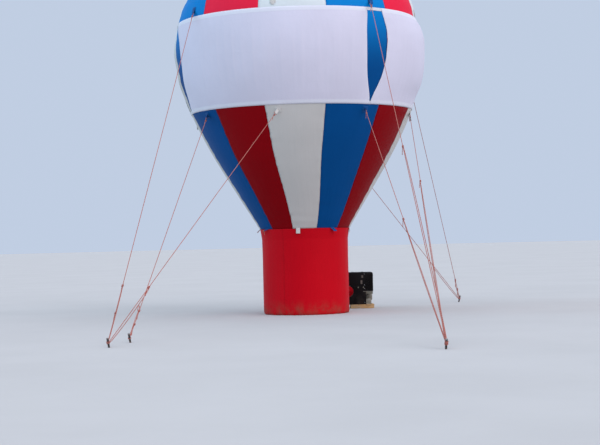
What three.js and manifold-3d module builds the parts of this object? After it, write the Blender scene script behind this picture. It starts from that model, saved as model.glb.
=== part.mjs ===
// Standing cold-air advertising balloon: a twelve-gore envelope on a round inflated base, with a
// blank banner band, guy ropes to ground stakes, and a blower on a wooden board behind it.
// Millimetres, +Z up. The origin is on the ground under the middle of the base.
// Azimuths are degrees from -Y, the street side, towards +X. Slopes are degrees of the skin's
// normal above the horizontal: 90 at the crown, 0 at the equator, negative on the funnel.
import * as THREE from 'three';
import { mergeVertices } from 'three/addons/utils/BufferGeometryUtils.js';
import Module from 'manifold-3d';

const wasm = await Module();
wasm.setup();

// Clearance and skin
const GAP = 0.3;
const SKIN = 10;
const SKIN_GAP = 0.9;

// Envelope outline: a sphere above the equator, a belly arc, a waist arc and a straight cone
const EQUATOR_R = 2490;
const EQUATOR_Z = 5375;
const BELLY_R = 3450;
const BELLY_SLOPE = -23.2;
const WAIST_R = 9100;
const CONE_SLOPE = -31.7;
const NECK_Z = 1700;
const CROWN_HOLE_R = 240;
const CROWN_PATCH_R = 300;
const CROWN_PATCH_T = 8;
const LIFTING_LOOP = { outerR: 70, innerR: 62, width: 50, sunk: 4 };

// Gores, counted from the white one that faces the street
const GORE_COUNT = 12;
const GORE_SPAN = 360 / GORE_COUNT;
const FIRST_SEAM = -18.6;
const FACETS_PER_GORE = 4;
const FACETS = GORE_COUNT * FACETS_PER_GORE;

// Hook-and-loop strips and the three banners that they hold
const STRIP_T = 5;
const STRIP_HALF = 42;
const TOP_STRIP_Z = 5775;
const BOTTOM_STRIP_Z = 4064;
const BANNER_T = 5;
const BANNER_PROUD = 16;
const BANNER_SPAN = 120;
const FRONT_BANNER_AZIMUTH = -24;
const PARTING_BEFORE = [5.2, 5.3, 6.2, 5.9, 5.5, 3.3, 0.03, 0.03];
const PARTING_AFTER = [2.5, 2.8, 5.6, 5.4, 4.4, 2.5, 0.03, 0.03];
const LEFT_PARTING = 2.1;
const PARTING_OVERRUN = 50;

// Webbing tie straps: eight columns, each with a high, a low and a neck strap. The neck is wrung
// a little, so the neck straps sit further round
const STRAP_WIDTH = 55;
const STRAP_T = 8;
const STRAP_LENGTH = 150;
const STRAP_SUNK = 4;
const STRAP_COLUMNS = 8;
const FIRST_STRAP_AZIMUTH = -12;
const STRAP_STEP = 45;
const HIGH_STRAP_Z = 5970;
const LOW_STRAP_Z = 3930;
const LOW_STRAP_SLOPE = -24.5;
const NECK_STRAP_Z = 1762;
const NECK_STRAP_LENGTH = 125;
const NECK_STRAP_WIDTH = 80;
const NECK_WRING = 3.5;

// Inflated base: its foot bends in, and its wall widens a little up to the neck
const WALL_FOOT_R = 840;
const WALL_BEND = { r: 858, z: 70 };
const WALL_TOP = { r: 864, z: 1500 };
const WALL_NECK_INSET = 3;
const FLOOR_T = 10;
const FLOOR_BEVEL = 4;
const PORT_R = 100;
const PORT_CUT = 400;

// Ropes and stakes
const ROPE_R = 5.5;
const STAKE_R = 16;
const STAKE_LENGTH = 150;
const STAKE_LEAN = 20;
const TIE_HEIGHT = 72;
const TIE_STEP = 18;

// Blower cabinet, its scroll chamber and its motor
const CABINET = { x0: 775, x1: 1415, y0: 1400, y1: 1880, z0: 80, z1: 755 };
const CORNER_R = 28;
const CABINET_WALL = 12;
const HEAD_FLOOR_Z = 440;
const NOTCH_X = 1262;
const NOTCH_Z = 360;
const BAY_X = 1015;
const BAY_FRONT = 40;
const AXLE = { y: 1640, z: 262 };
const CHAMBER = { r: 165, x0: 790, x1: 1000 };
const INTAKE_R = 118;
const OUTLET = { x: 884, z: 355, half: 78, collarR: 108, collarT: 8, collarLength: 60 };
const FLANGE = { r: 124, t: 6 };
const SHAFT_R = 12;
const SHAFT_CLEARANCE = 8;
const WHEEL = { r: 135, innerR: 110, x0: 812, x1: 966, plate: 6, blades: 16, bladeT: 4 };
const BLADE_PITCH = 30;
const HUB = { r: 28, length: 60, boreDepth: 40, clearance: 0.7 };
const MOTOR = { r: 108, x0: 1080, x1: 1400, fins: 4, finT: 12, finStep: 44, finFrom: 90, finR: 8 };
const MOTOR_FOOT = { inset: 12, half: 105, below: 60 };
const GUARD = {
  t: 6, rimT: 10, rimR: 140, eyeR: 114, rings: [79, 45], wire: 6, bossR: 18,
  spokeR: 125, spokes: 8, spokeSunk: 0.5 };
const INLET = { x0: 880, x1: 980, z0: 560, z1: 640, depth: 42, socketInset: 20, socketFloor: 12 };
const BOARD = { x0: 930, x1: 1432, y0: 1362, y1: 1922, deck: 22, planks: 3, gap: 8 };
const BEARER = { width: 90, inset: 4, setBack: 6, lap: 2 };

// Inflation sleeve: a fabric tube, its overlap on the collar and how far the cut reaches past it
const SLEEVE_R = 116;
const SLEEVE_T = 6;
const SLEEVE_START = 25;
const SLEEVE_STRAIGHT = 110;
const SLEEVE_BEND = [[815, 1120, 348], [690, 935, 340], [480, 655, 335]];
const COLLAR_CUT = 80;
const CUT = 5;

const WHITE = 0xd3d6e2;
const BLUE = 0x1766ad;
const RED = 0xb80a1c;
const GORE_COLOURS = [['white', WHITE], ['blue', BLUE], ['red', RED]];

const radians = THREE.MathUtils.degToRad;
const cos = (degrees) => Math.cos(radians(degrees));
const sin = (degrees) => Math.sin(radians(degrees));

const model = new THREE.Group();
const fabric = (color) => new THREE.MeshStandardMaterial({ color, roughness: 0.6, metalness: 0 });
const steel = new THREE.MeshStandardMaterial({ color: 0x1b1b1d, roughness: 0.5, metalness: 0.6 });
const ropeRed = new THREE.MeshStandardMaterial({ color: 0xc8674f, roughness: 0.9 });
const cabinetBlack = new THREE.MeshStandardMaterial({ color: 0x0d0e11, roughness: 0.55 });
const motorGrey = new THREE.MeshStandardMaterial({ color: 0x8b9096, roughness: 0.5, metalness: 0.4 });
const deal = new THREE.MeshStandardMaterial({ color: 0xb99a6b, roughness: 0.85 });

function addMesh(name, geometry, material) {
  const mesh = new THREE.Mesh(geometry, material);
  mesh.name = name;
  model.add(mesh);
  return mesh;
}

// Solids: a closed geometry to a manifold for joins and cuts, and back
function toSolid(geometry) {
  const bare = geometry.clone();
  bare.deleteAttribute('normal');
  bare.deleteAttribute('uv');
  const merged = mergeVertices(bare, 1e-3);
  return new wasm.Manifold(new wasm.Mesh({
    numProp: 3,
    vertProperties: new Float32Array(merged.attributes.position.array),
    triVerts: new Uint32Array(merged.index.array),
  }));
}

function toGeometry(solid) {
  const mesh = solid.getMesh();
  const geometry = new THREE.BufferGeometry();
  geometry.setAttribute('position', new THREE.BufferAttribute(mesh.vertProperties, 3));
  geometry.setIndex(new THREE.BufferAttribute(mesh.triVerts, 1));
  return geometry;
}

const joined = (solids) => solids.reduce((whole, solid) => whole.add(solid));

// A box between two corners
function box(x0, x1, y0, y1, z0, z1) {
  const geometry = new THREE.BoxGeometry(x1 - x0, y1 - y0, z1 - z0);
  return geometry.translate((x0 + x1) / 2, (y0 + y1) / 2, (z0 + z1) / 2);
}

// A straight round bar between two points
function bar(start, end, radius, sides) {
  const along = new THREE.Vector3().subVectors(end, start);
  const geometry = new THREE.CylinderGeometry(radius, radius, along.length(), sides);
  const up = new THREE.Vector3(0, 1, 0);
  geometry.applyQuaternion(new THREE.Quaternion().setFromUnitVectors(up, along.normalize()));
  const middle = new THREE.Vector3().addVectors(start, end).multiplyScalar(0.5);
  return geometry.translate(middle.x, middle.y, middle.z);
}

const barAlongX = (x0, x1, y, z, radius, sides) =>
  bar(new THREE.Vector3(x0, y, z), new THREE.Vector3(x1, y, z), radius, sides);

// A profile of [radius, height] points turned about Z, with facet edges on the gore seams
function turned(profile, facets = FACETS) {
  const points = profile.map(([r, z]) => new THREE.Vector2(r, z));
  return new THREE.LatheGeometry(points, facets, radians(FIRST_SEAM), 2 * Math.PI)
    .rotateX(Math.PI / 2);
}

// A closed profile turned through one span of azimuths, with both cut ends closed
function sector(profile, azimuth, span, facets) {
  const ring = profile.slice(0, -1);
  const count = ring.length;
  const positions = [];
  const index = [];
  for (let column = 0; column <= facets; column += 1) {
    const at = azimuth + span * column / facets;
    ring.forEach(([r, z]) => positions.push(r * sin(at), -r * cos(at), z));
  }
  for (let column = 0; column < facets; column += 1) {
    for (let j = 0; j < count; j += 1) {
      const here = column * count + j;
      const next = column * count + (j + 1) % count;
      index.push(next, here, here + count, next, here + count, next + count);
    }
  }
  const last = facets * count;
  const flat = ring.map(([r, z]) => new THREE.Vector2(r, z));
  for (const [a, b, c] of THREE.ShapeUtils.triangulateShape(flat, [])) {
    index.push(a, b, c, last + a, last + c, last + b);
  }
  const geometry = new THREE.BufferGeometry();
  geometry.setAttribute('position', new THREE.Float32BufferAttribute(positions, 3));
  geometry.setIndex(index);
  return geometry;
}

// The envelope's outline as [radius, height] where the skin's slope has this value
function outline(slope) {
  if (slope >= 0) {
    return [EQUATOR_R * cos(slope), EQUATOR_Z + EQUATOR_R * sin(slope)];
  }
  const bellySlope = Math.max(slope, BELLY_SLOPE);
  const r = EQUATOR_R - BELLY_R * (1 - cos(bellySlope));
  const z = EQUATOR_Z + BELLY_R * sin(bellySlope);
  if (slope >= BELLY_SLOPE) {
    return [r, z];
  }
  return [
    r - WAIST_R * (cos(BELLY_SLOPE) - cos(slope)),
    z - WAIST_R * (sin(BELLY_SLOPE) - sin(slope)),
  ];
}

const onSkin = (slope, outwards) => {
  const [r, z] = outline(slope);
  return [r + outwards * cos(slope), z + outwards * sin(slope)];
};

const [coneTopR, coneTopZ] = outline(CONE_SLOPE);
const coneLean = Math.tan(radians(-CONE_SLOPE));
const coneR = (z) => coneTopR - (coneTopZ - z) * coneLean;
const NECK_R = coneR(NECK_Z);

const slopeOfR = (r) => THREE.MathUtils.radToDeg(Math.acos(r / EQUATOR_R));
const slopeOfZ = (z) => THREE.MathUtils.radToDeg(
  Math.asin((z - EQUATOR_Z) / (z > EQUATOR_Z ? EQUATOR_R : BELLY_R)));
const holeSlope = slopeOfR(CROWN_HOLE_R);
const patchSlope = slopeOfR(CROWN_PATCH_R);
const topStripSlopes = [slopeOfZ(TOP_STRIP_Z + STRIP_HALF), slopeOfZ(TOP_STRIP_Z - STRIP_HALF)];
const bottomStripSlopes = [
  slopeOfZ(BOTTOM_STRIP_Z + STRIP_HALF), slopeOfZ(BOTTOM_STRIP_Z - STRIP_HALF)];

// Slopes at which the skin's outline has a facet edge
const bulgeSlopes = [0, -6, -12, -17];
const skinSlopes = [
  holeSlope, patchSlope, 72, 60, 48, 36, 24, 16, ...topStripSlopes, ...bulgeSlopes,
  ...bottomStripSlopes, -27.5, CONE_SLOPE];

// A closed profile between two distances from the skin: down its inside, then up its outside
function layer(slopes, inside, outside) {
  const inner = slopes.map((slope) => onSkin(slope, inside));
  const outer = slopes.map((slope) => onSkin(slope, outside)).reverse();
  return [...inner, ...outer, inner[0]];
}

// A wedge of space about Z between two azimuths, held back by half a gap on each side
function wedge(azimuth0, azimuth1, z0, z1) {
  const reach = 3 * EQUATOR_R;
  const middle = (azimuth0 + azimuth1) / 2;
  const back = GAP / 2 / sin((azimuth1 - azimuth0) / 2);
  const shape = new THREE.Shape([
    new THREE.Vector2(0, 0),
    new THREE.Vector2(reach * sin(azimuth0), -reach * cos(azimuth0)),
    new THREE.Vector2(reach * sin(azimuth1), -reach * cos(azimuth1)),
  ]);
  const geometry = new THREE.ExtrudeGeometry(shape, { depth: z1 - z0, bevelEnabled: false });
  return geometry.translate(back * sin(middle), -back * cos(middle), z0);
}

function pointAt(azimuth, r, z) {
  return new THREE.Vector3(r * sin(azimuth), -r * cos(azimuth), z);
}

// Ground stakes: where they enter the ground
const stakes = {
  front_right: { x: 1810, y: -10150 },
  front_left: { x: -2900, y: -8400 },
  front_left_inner: { x: -2700, y: -7450 },
  rear_right: { x: 3400, y: 3200 },
  rear: { x: -700, y: 5400 },
};

// Guy ropes: name, strap azimuth, strap row, stake and place on the stake, lowest first
const guys = [
  ['front_right_high', 33, 'high', 'front_right', 2],
  ['front_right_low', 33, 'low', 'front_right', 1],
  ['front_right_side', 78, 'low', 'front_right', 0],
  ['front_left_high', -57, 'high', 'front_left', 1],
  ['front_left_low', -12, 'low', 'front_left', 0],
  ['front_left_side', -57, 'low', 'front_left_inner', 0],
  ['rear_right_high', 123, 'high', 'rear_right', 1],
  ['rear_right_low', 168, 'low', 'rear_right', 0],
  ['rear_high', 213, 'high', 'rear', 1],
  ['rear_low', 213, 'low', 'rear', 0],
];

// A stake's own direction: it leans away from the balloon
function stakeDirection(stake) {
  const away = new THREE.Vector3(stake.x, stake.y, 0).normalize();
  return away.multiplyScalar(sin(STAKE_LEAN)).setZ(cos(STAKE_LEAN));
}

function tiePoint(stake, place) {
  const foot = new THREE.Vector3(stake.x, stake.y, 0);
  return foot.addScaledVector(stakeDirection(stake), TIE_HEIGHT + place * TIE_STEP);
}

// The skin's radius and slope at a strap row
const strapRows = {
  high: { z: HIGH_STRAP_Z, slope: slopeOfZ(HIGH_STRAP_Z) },
  low: { z: LOW_STRAP_Z, slope: LOW_STRAP_SLOPE },
};

function strapAnchor(azimuth, row) {
  const { z, slope } = strapRows[row];
  const above = skinSlopes.filter((s) => outline(s)[1] >= z).pop();
  const below = skinSlopes.find((s) => outline(s)[1] < z);
  const [r0, z0] = outline(above);
  const [r1, z1] = outline(below);
  const r = r1 + (r0 - r1) * (z - z1) / (z0 - z1);
  const normal = pointAt(azimuth, cos(slope), sin(slope));
  return { anchor: pointAt(azimuth, r, z), normal };
}

// A flat strap from a point along a direction, its face turned to the given normal
function strap(start, direction, normal, length, width = STRAP_WIDTH) {
  const across = new THREE.Vector3().crossVectors(normal, direction).normalize();
  const face = new THREE.Vector3().crossVectors(direction, across);
  const geometry = new THREE.BoxGeometry(length, width, STRAP_T).translate(length / 2, 0, 0);
  const basis = new THREE.Matrix4().makeBasis(direction, across, face).setPosition(start);
  return geometry.applyMatrix4(basis);
}

const guyOf = (azimuth, row) => guys.find((guy) =>
  ((guy[1] - azimuth) % 360 + 360) % 360 === 0 && guy[2] === row);

function guyLine(guy) {
  const [, azimuth, row, stakeName, place] = guy;
  const { anchor, normal } = strapAnchor(azimuth, row);
  const start = anchor.addScaledVector(normal, -STRAP_SUNK / 2);
  const tie = tiePoint(stakes[stakeName], place);
  return { start, normal, tie, direction: new THREE.Vector3().subVectors(tie, start).normalize() };
}

// The straps of one column: a tied strap points along its rope, a free one hangs
function columnStraps(azimuth) {
  const straps = Object.keys(strapRows).map((row) => {
    const guy = guyOf(azimuth, row);
    if (guy) {
      const { start, direction, normal } = guyLine(guy);
      return strap(start, direction, normal, STRAP_LENGTH);
    }
    const { anchor, normal } = strapAnchor(azimuth, row);
    const start = anchor.addScaledVector(normal, -STRAP_SUNK / 2);
    const side = pointAt(azimuth + 90, 1, 0);
    const down = new THREE.Vector3().crossVectors(normal, side).normalize();
    const hang = row === 'high' ? down : new THREE.Vector3(0, 0, -1);
    return strap(start, hang, normal, STRAP_LENGTH);
  });
  const outwards = pointAt(azimuth + NECK_WRING, 1, 0);
  const neck = outwards.clone().multiplyScalar(coneR(NECK_STRAP_Z) - STRAP_SUNK).setZ(NECK_STRAP_Z);
  const down = new THREE.Vector3(0, 0, -1);
  straps.push(strap(neck, down, outwards, NECK_STRAP_LENGTH, NECK_STRAP_WIDTH));
  return straps.map(toSolid);
}

// Envelope: twelve gores, each with the straps sewn to it
function buildEnvelope() {
  const profile = layer(skinSlopes, -SKIN, 0);
  const neck = [NECK_R, NECK_Z + GAP];
  const neckInside = [NECK_R - SKIN / cos(CONE_SLOPE), NECK_Z + GAP];
  profile.splice(skinSlopes.length, 0, neckInside, neck);
  const seamBack = GAP / 2 / sin(GORE_SPAN / 2);
  const columns = Array.from(
    { length: STRAP_COLUMNS }, (_, i) => FIRST_STRAP_AZIMUTH + i * STRAP_STEP);
  for (let i = 0; i < GORE_COUNT; i += 1) {
    const start = FIRST_SEAM + i * GORE_SPAN;
    const [colourName, colour] = GORE_COLOURS[i % 3];
    const back = pointAt(start + GORE_SPAN / 2, seamBack, 0);
    const shell = sector(profile, start, GORE_SPAN, FACETS_PER_GORE).translate(back.x, back.y, 0);
    let gore = toSolid(shell);
    for (const azimuth of columns.filter((a) => a > start && a < start + GORE_SPAN)) {
      gore = joined([gore, ...columnStraps(azimuth)]);
    }
    const name = `gore_${String(i + 1).padStart(2, '0')}_${colourName}`;
    addMesh(name, toGeometry(gore), fabric(colour));
  }
}

// Crown patch over the top ring of the gores, with a webbing lifting loop
function buildCrown() {
  const inner = [holeSlope, patchSlope].map((slope) => onSkin(slope, SKIN_GAP));
  const outer = [patchSlope, holeSlope].map((slope) => onSkin(slope, SKIN_GAP + CROWN_PATCH_T));
  const topZ = EQUATOR_Z + EQUATOR_R + SKIN_GAP;
  const patch = turned([[0, topZ], ...inner, ...outer, [0, topZ + CROWN_PATCH_T]]);
  const { outerR, innerR, width, sunk } = LIFTING_LOOP;
  const arch = new THREE.Shape();
  arch.absarc(0, 0, outerR, 0, Math.PI);
  arch.absarc(0, 0, innerR, Math.PI, 0, true);
  const loop = new THREE.ExtrudeGeometry(arch,
    { depth: width, bevelEnabled: false, curveSegments: 8 })
    .translate(0, 0, -width / 2)
    .rotateX(Math.PI / 2)
    .translate(0, 0, topZ + CROWN_PATCH_T - sunk);
  addMesh('crown_patch', toGeometry(toSolid(patch).add(toSolid(loop))), fabric(WHITE));
}

// Hook-and-loop strips round the envelope
function buildStrips() {
  const outside = SKIN_GAP + STRIP_T;
  addMesh('strip_top', turned(layer(topStripSlopes, SKIN_GAP, outside)), fabric(WHITE));
  addMesh('strip_bottom', turned(layer(bottomStripSlopes, SKIN_GAP, outside)), fabric(WHITE));
}

// Three straight-cut banners. The skin is widest at the equator, so their edges part there by
// the angles above, before and after the line they meet on, from the top strip's edge to the
// bottom strip's. The two that meet at the left are pulled further apart
function buildBanners() {
  const slopes = [...topStripSlopes, ...bulgeSlopes, ...bottomStripSlopes];
  const onStrip = SKIN_GAP + STRIP_T + GAP;
  const proud = (slope) => {
    const t = (topStripSlopes[1] - slope) / (topStripSlopes[1] - bottomStripSlopes[0]);
    return onStrip + BANNER_PROUD * Math.sin(Math.PI * THREE.MathUtils.clamp(t, 0, 1));
  };
  const outer = slopes.map((slope) => onSkin(slope, proud(slope) + BANNER_T));
  const inner = slopes.map((slope) => onSkin(slope, proud(slope)));
  const band = toSolid(turned([...inner, ...outer.toReversed(), inner[0]]));
  const cutEdge = (angles, side) => {
    const points = outer.map(([r, z], i) => new THREE.Vector2(side * r * sin(angles[i]), z));
    points[0].y += PARTING_OVERRUN;
    points[points.length - 1].y -= PARTING_OVERRUN;
    return points;
  };
  const lens = new THREE.Shape(
    [...cutEdge(PARTING_AFTER, 1), ...cutEdge(PARTING_BEFORE, -1).reverse()]);
  const left = FRONT_BANNER_AZIMUTH - BANNER_SPAN / 2;
  const names = ['banner_front', 'banner_right', 'banner_rear'];
  const meetings = names.map((_, i) => new THREE.ExtrudeGeometry(lens,
    { depth: EQUATOR_R, bevelEnabled: false })
    .rotateX(Math.PI / 2)
    .translate(0, -EQUATOR_R / 2, 0)
    .scale(i === 0 ? LEFT_PARTING : 1, 1, 1)
    .rotateZ(radians(left + i * BANNER_SPAN)));
  names.forEach((name, i) => {
    const start = left + i * BANNER_SPAN;
    const span = wedge(start, start + BANNER_SPAN, NECK_Z, EQUATOR_Z + EQUATOR_R);
    let banner = band.intersect(toSolid(span));
    for (const meeting of [meetings[i], meetings[(i + 1) % names.length]]) {
      banner = banner.subtract(toSolid(meeting));
    }
    addMesh(name, toGeometry(banner), fabric(WHITE));
  });
}

// The sleeve's route: straight off the blower's collar, then bending to the port in the wall
const sleevePath = new THREE.CatmullRomCurve3([
  new THREE.Vector3(OUTLET.x, CABINET.y0 - SLEEVE_START, OUTLET.z),
  new THREE.Vector3(OUTLET.x, CABINET.y0 - SLEEVE_STRAIGHT, OUTLET.z),
  ...SLEEVE_BEND.map((point) => new THREE.Vector3(...point)),
]);

// The base wall's outer side as [radius, height], from its foot up to the neck
const wallOutside = [
  [WALL_FOOT_R, FLOOR_T + GAP],
  [WALL_BEND.r, WALL_BEND.z],
  [WALL_TOP.r, WALL_TOP.z],
  [NECK_R - WALL_NECK_INSET, NECK_Z],
];

// Base: a floor panel, and a wall with the sleeve's port, open upwards into the envelope
function buildBase() {
  const inner = wallOutside.map(([r, z]) => [r - SKIN, z]).reverse();
  const wall = toSolid(turned([...wallOutside, ...inner, wallOutside[0]]));
  const end = sleevePath.getPointAt(1);
  const inwards = sleevePath.getTangentAt(1);
  const before = end.clone().addScaledVector(inwards, -PORT_CUT);
  const port = toSolid(bar(before, end, PORT_R, 16));
  addMesh('base_wall', toGeometry(wall.subtract(port)), fabric(RED));
  const floor = turned(
    [[0, 0], [WALL_FOOT_R - FLOOR_BEVEL, 0], [WALL_FOOT_R, FLOOR_T], [0, FLOOR_T]]);
  addMesh('base_floor', floor, fabric(RED));
}

// Ropes from their straps to the stakes, and the stakes cut level with the ground
function buildGuys() {
  for (const guy of guys) {
    const { start, direction, tie } = guyLine(guy);
    const lean = stakeDirection(stakes[guy[3]]);
    const along = Math.abs(direction.dot(lean));
    const clear = (STAKE_R + GAP + ROPE_R * along) / Math.sqrt(1 - along * along);
    const from = start.clone().addScaledVector(direction, STRAP_LENGTH + GAP);
    const to = tie.clone().addScaledVector(direction, -clear);
    addMesh(`guy_${guy[0]}`, bar(from, to, ROPE_R, 8), ropeRed);
  }
  for (const [name, stake] of Object.entries(stakes)) {
    const foot = new THREE.Vector3(stake.x, stake.y, 0);
    const lean = stakeDirection(stake);
    const below = foot.clone().addScaledVector(lean, -STAKE_R);
    const post = toSolid(bar(below, foot.clone().addScaledVector(lean, STAKE_LENGTH), STAKE_R, 20));
    const reach = STAKE_LENGTH;
    const ground = box(
      stake.x - reach, stake.x + reach, stake.y - reach, stake.y + reach, -reach, 0);
    addMesh(`stake_${name}`, toGeometry(post.subtract(toSolid(ground))), steel);
  }
}

// Sleeve: a fabric tube slipped over the collar and trimmed to the base wall
function buildSleeve() {
  const circle = new THREE.Shape().absarc(0, 0, SLEEVE_R, 0, 2 * Math.PI);
  circle.holes.push(new THREE.Path().absarc(0, 0, SLEEVE_R - SLEEVE_T, 0, 2 * Math.PI));
  const tube = new THREE.ExtrudeGeometry(circle,
    { steps: 8, extrudePath: sleevePath, curveSegments: 8 });
  const outside = wallOutside.map(([r, z]) => [r + GAP, z]);
  const drum = turned([[0, outside[0][1]], ...outside, [0, NECK_Z]]);
  const collar = barAlongY(CABINET.y0 - COLLAR_CUT, CABINET.y0, OUTLET.collarR + GAP);
  addMesh('inflation_sleeve',
    toGeometry(toSolid(tube).subtract(toSolid(drum)).subtract(toSolid(collar))), fabric(RED));
}

function barAlongY(y0, y1, radius) {
  const start = new THREE.Vector3(OUTLET.x, y0, OUTLET.z);
  return bar(start, new THREE.Vector3(OUTLET.x, y1, OUTLET.z), radius, 20);
}

// Blower cabinet: rounded on top, notched at the lower right, with a scroll chamber inside
function buildCabinet() {
  const { x0, x1, y0, y1, z0, z1 } = CABINET;
  const wall = CABINET_WALL;
  const front = new THREE.Shape();
  front.moveTo(x0, z0);
  front.lineTo(NOTCH_X, z0);
  front.lineTo(NOTCH_X, NOTCH_Z);
  front.lineTo(x1, NOTCH_Z);
  front.lineTo(x1, z1 - CORNER_R);
  front.absarc(x1 - CORNER_R, z1 - CORNER_R, CORNER_R, 0, Math.PI / 2);
  front.absarc(x0 + CORNER_R, z1 - CORNER_R, CORNER_R, Math.PI / 2, Math.PI);
  const shell = new THREE.ExtrudeGeometry(front,
    { depth: y1 - y0, bevelEnabled: false, curveSegments: 4 })
    .rotateX(Math.PI / 2)
    .translate(0, y1, 0);
  const { x, z, half } = OUTLET;
  const cuts = [
    barAlongX(CHAMBER.x0, CHAMBER.x1, AXLE.y, AXLE.z, CHAMBER.r, 16),
    barAlongX(x0 - CUT, CHAMBER.x0 + CUT, AXLE.y, AXLE.z, INTAKE_R, 16),
    barAlongX(CHAMBER.x1 - CUT, BAY_X + CUT, AXLE.y, AXLE.z, SHAFT_R + SHAFT_CLEARANCE, 12),
    box(x - half, x + half, y0 - CUT, AXLE.y, z - half, z + half),
    box(BAY_X, x1 + CUT, y0 + BAY_FRONT, y1 + CUT, z0 - CUT, NOTCH_Z),
    box(x0 + wall, x1 - wall, y0 + wall, y1 - wall, HEAD_FLOOR_Z, z1 - wall),
    box(BAY_X, x1 - wall, y0 + BAY_FRONT, y1 - wall, NOTCH_Z - CUT, HEAD_FLOOR_Z + CUT),
  ];
  const cabinet = cuts.reduce((left, cut) => left.subtract(toSolid(cut)), toSolid(shell));
  addMesh('blower_cabinet', toGeometry(cabinet), cabinetBlack);
}

// Outlet collar: a round duct on a flange, on the front of the cabinet
function buildCollar() {
  const { collarR, collarT, collarLength } = OUTLET;
  const y = CABINET.y0 - GAP;
  const flange = toSolid(barAlongY(y - FLANGE.t, y, FLANGE.r));
  const duct = toSolid(barAlongY(y - collarLength, y, collarR));
  const bore = toSolid(barAlongY(y - collarLength - CUT, y + CUT, collarR - collarT));
  addMesh('outlet_collar', toGeometry(flange.add(duct).subtract(bore)), steel);
}

// Motor on its foot, with the shaft that carries the impeller
function buildMotor() {
  const { r, x0, x1, finT, finStep, finFrom, finR } = MOTOR;
  const { inset, half, below } = MOTOR_FOOT;
  const fins = Array.from({ length: MOTOR.fins }, (_, i) => {
    const x = x0 + finFrom + i * finStep;
    return barAlongX(x, x + finT, AXLE.y, AXLE.z, r + finR, 16);
  });
  const shaftEnd = WHEEL.x1 - HUB.boreDepth + SHAFT_CLEARANCE / 2;
  const parts = [
    barAlongX(x0, x1, AXLE.y, AXLE.z, r, 16),
    barAlongX(shaftEnd, x0 + CUT, AXLE.y, AXLE.z, SHAFT_R, 16),
    box(x0 + inset, x1 - inset, AXLE.y - half, AXLE.y + half, CABINET.z0 + GAP, AXLE.z - below),
    ...fins,
  ];
  addMesh('blower_motor', toGeometry(joined(parts.map(toSolid))), motorGrey);
}

// Impeller: a squirrel-cage wheel whose hub turns with the shaft's end inside it
function buildImpeller() {
  const { r, innerR, x0, x1, plate, blades, bladeT } = WHEEL;
  const ring = toSolid(barAlongX(x0, x0 + plate, AXLE.y, AXLE.z, r, 32))
    .subtract(toSolid(barAlongX(x0 - CUT, x0 + plate + CUT, AXLE.y, AXLE.z, innerR, 32)));
  const parts = [
    ring,
    toSolid(barAlongX(x1 - plate, x1, AXLE.y, AXLE.z, r, 32)),
    toSolid(barAlongX(x1 - HUB.length, x1, AXLE.y, AXLE.z, HUB.r, 16)),
  ];
  for (let i = 0; i < blades; i += 1) {
    const blade = box(x0 + 1, x1 - 1, innerR - r + bladeT / 2, 0, -bladeT / 2, bladeT / 2)
      .rotateX(radians(BLADE_PITCH))
      .translate(0, r - bladeT, 0)
      .rotateX(radians(i * 360 / blades))
      .translate(0, AXLE.y, AXLE.z);
    parts.push(toSolid(blade));
  }
  const bore = toSolid(
    barAlongX(x1 - HUB.boreDepth, x1 + CUT, AXLE.y, AXLE.z, SHAFT_R + HUB.clearance, 24));
  addMesh('blower_impeller', toGeometry(joined(parts).subtract(bore)), motorGrey);
}

// Round wire guard over the intake: a flat rim, rings and spokes round a middle boss
function buildGrille() {
  const { t, rimT, rimR, eyeR, rings, wire, bossR, spokeR, spokes, spokeSunk } = GUARD;
  const x1 = CABINET.x0 - GAP;
  const hoop = (outerR, innerR, thickness, sides) =>
    toSolid(barAlongX(x1 - thickness, x1, AXLE.y, AXLE.z, outerR, sides))
      .subtract(toSolid(barAlongX(x1 - thickness - CUT, x1 + CUT, AXLE.y, AXLE.z, innerR, sides)));
  const parts = [
    hoop(rimR, eyeR, rimT, 20),
    ...rings.map((r) => hoop(r + wire / 2, r - wire / 2, t, 12)),
    toSolid(barAlongX(x1 - t, x1, AXLE.y, AXLE.z, bossR, 12)),
  ];
  for (let i = 0; i < spokes / 2; i += 1) {
    parts.push(toSolid(box(spokeSunk - t, -spokeSunk, -spokeR, spokeR, -wire / 2, wire / 2)
      .rotateX(radians(i * 360 / spokes))
      .translate(x1, AXLE.y, AXLE.z)));
  }
  addMesh('intake_grille', toGeometry(joined(parts)), steel);
}

// Power inlet on the back of the cabinet, with its socket recess
function buildInlet() {
  const { x0, x1, z0, z1, depth, socketInset: inset, socketFloor } = INLET;
  const y = CABINET.y1 + GAP;
  const block = toSolid(box(x0, x1, y, y + depth, z0, z1));
  const socket = toSolid(
    box(x0 + inset, x1 - inset, y + socketFloor, y + depth + CUT, z0 + inset, z1 - inset));
  addMesh('power_inlet', toGeometry(block.subtract(socket)), cabinetBlack);
}

// Wooden board: planks that run front to back, on three bearers that run across
function buildBoard() {
  const { x0, x1, y0, y1, deck, planks, gap } = BOARD;
  const { width, inset, setBack, lap } = BEARER;
  const top = CABINET.z0 - GAP;
  const plank = (x1 - x0 - (planks - 1) * gap) / planks;
  const parts = Array.from({ length: planks }, (_, i) => {
    const x = x0 + i * (plank + gap);
    return box(x, x + plank, y0, y1, top - deck, top);
  });
  for (const y of [y0 + setBack, (y0 + y1 - width) / 2, y1 - setBack - width]) {
    parts.push(box(x0 + inset, x1 - inset, y, y + width, 0, top - deck + lap));
  }
  addMesh('blower_board', toGeometry(joined(parts.map(toSolid))), deal);
}

buildEnvelope();
buildCrown();
buildStrips();
buildBanners();
buildBase();
buildGuys();
buildSleeve();
buildCabinet();
buildCollar();
buildMotor();
buildImpeller();
buildGrille();
buildInlet();
buildBoard();

export default model;
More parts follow.
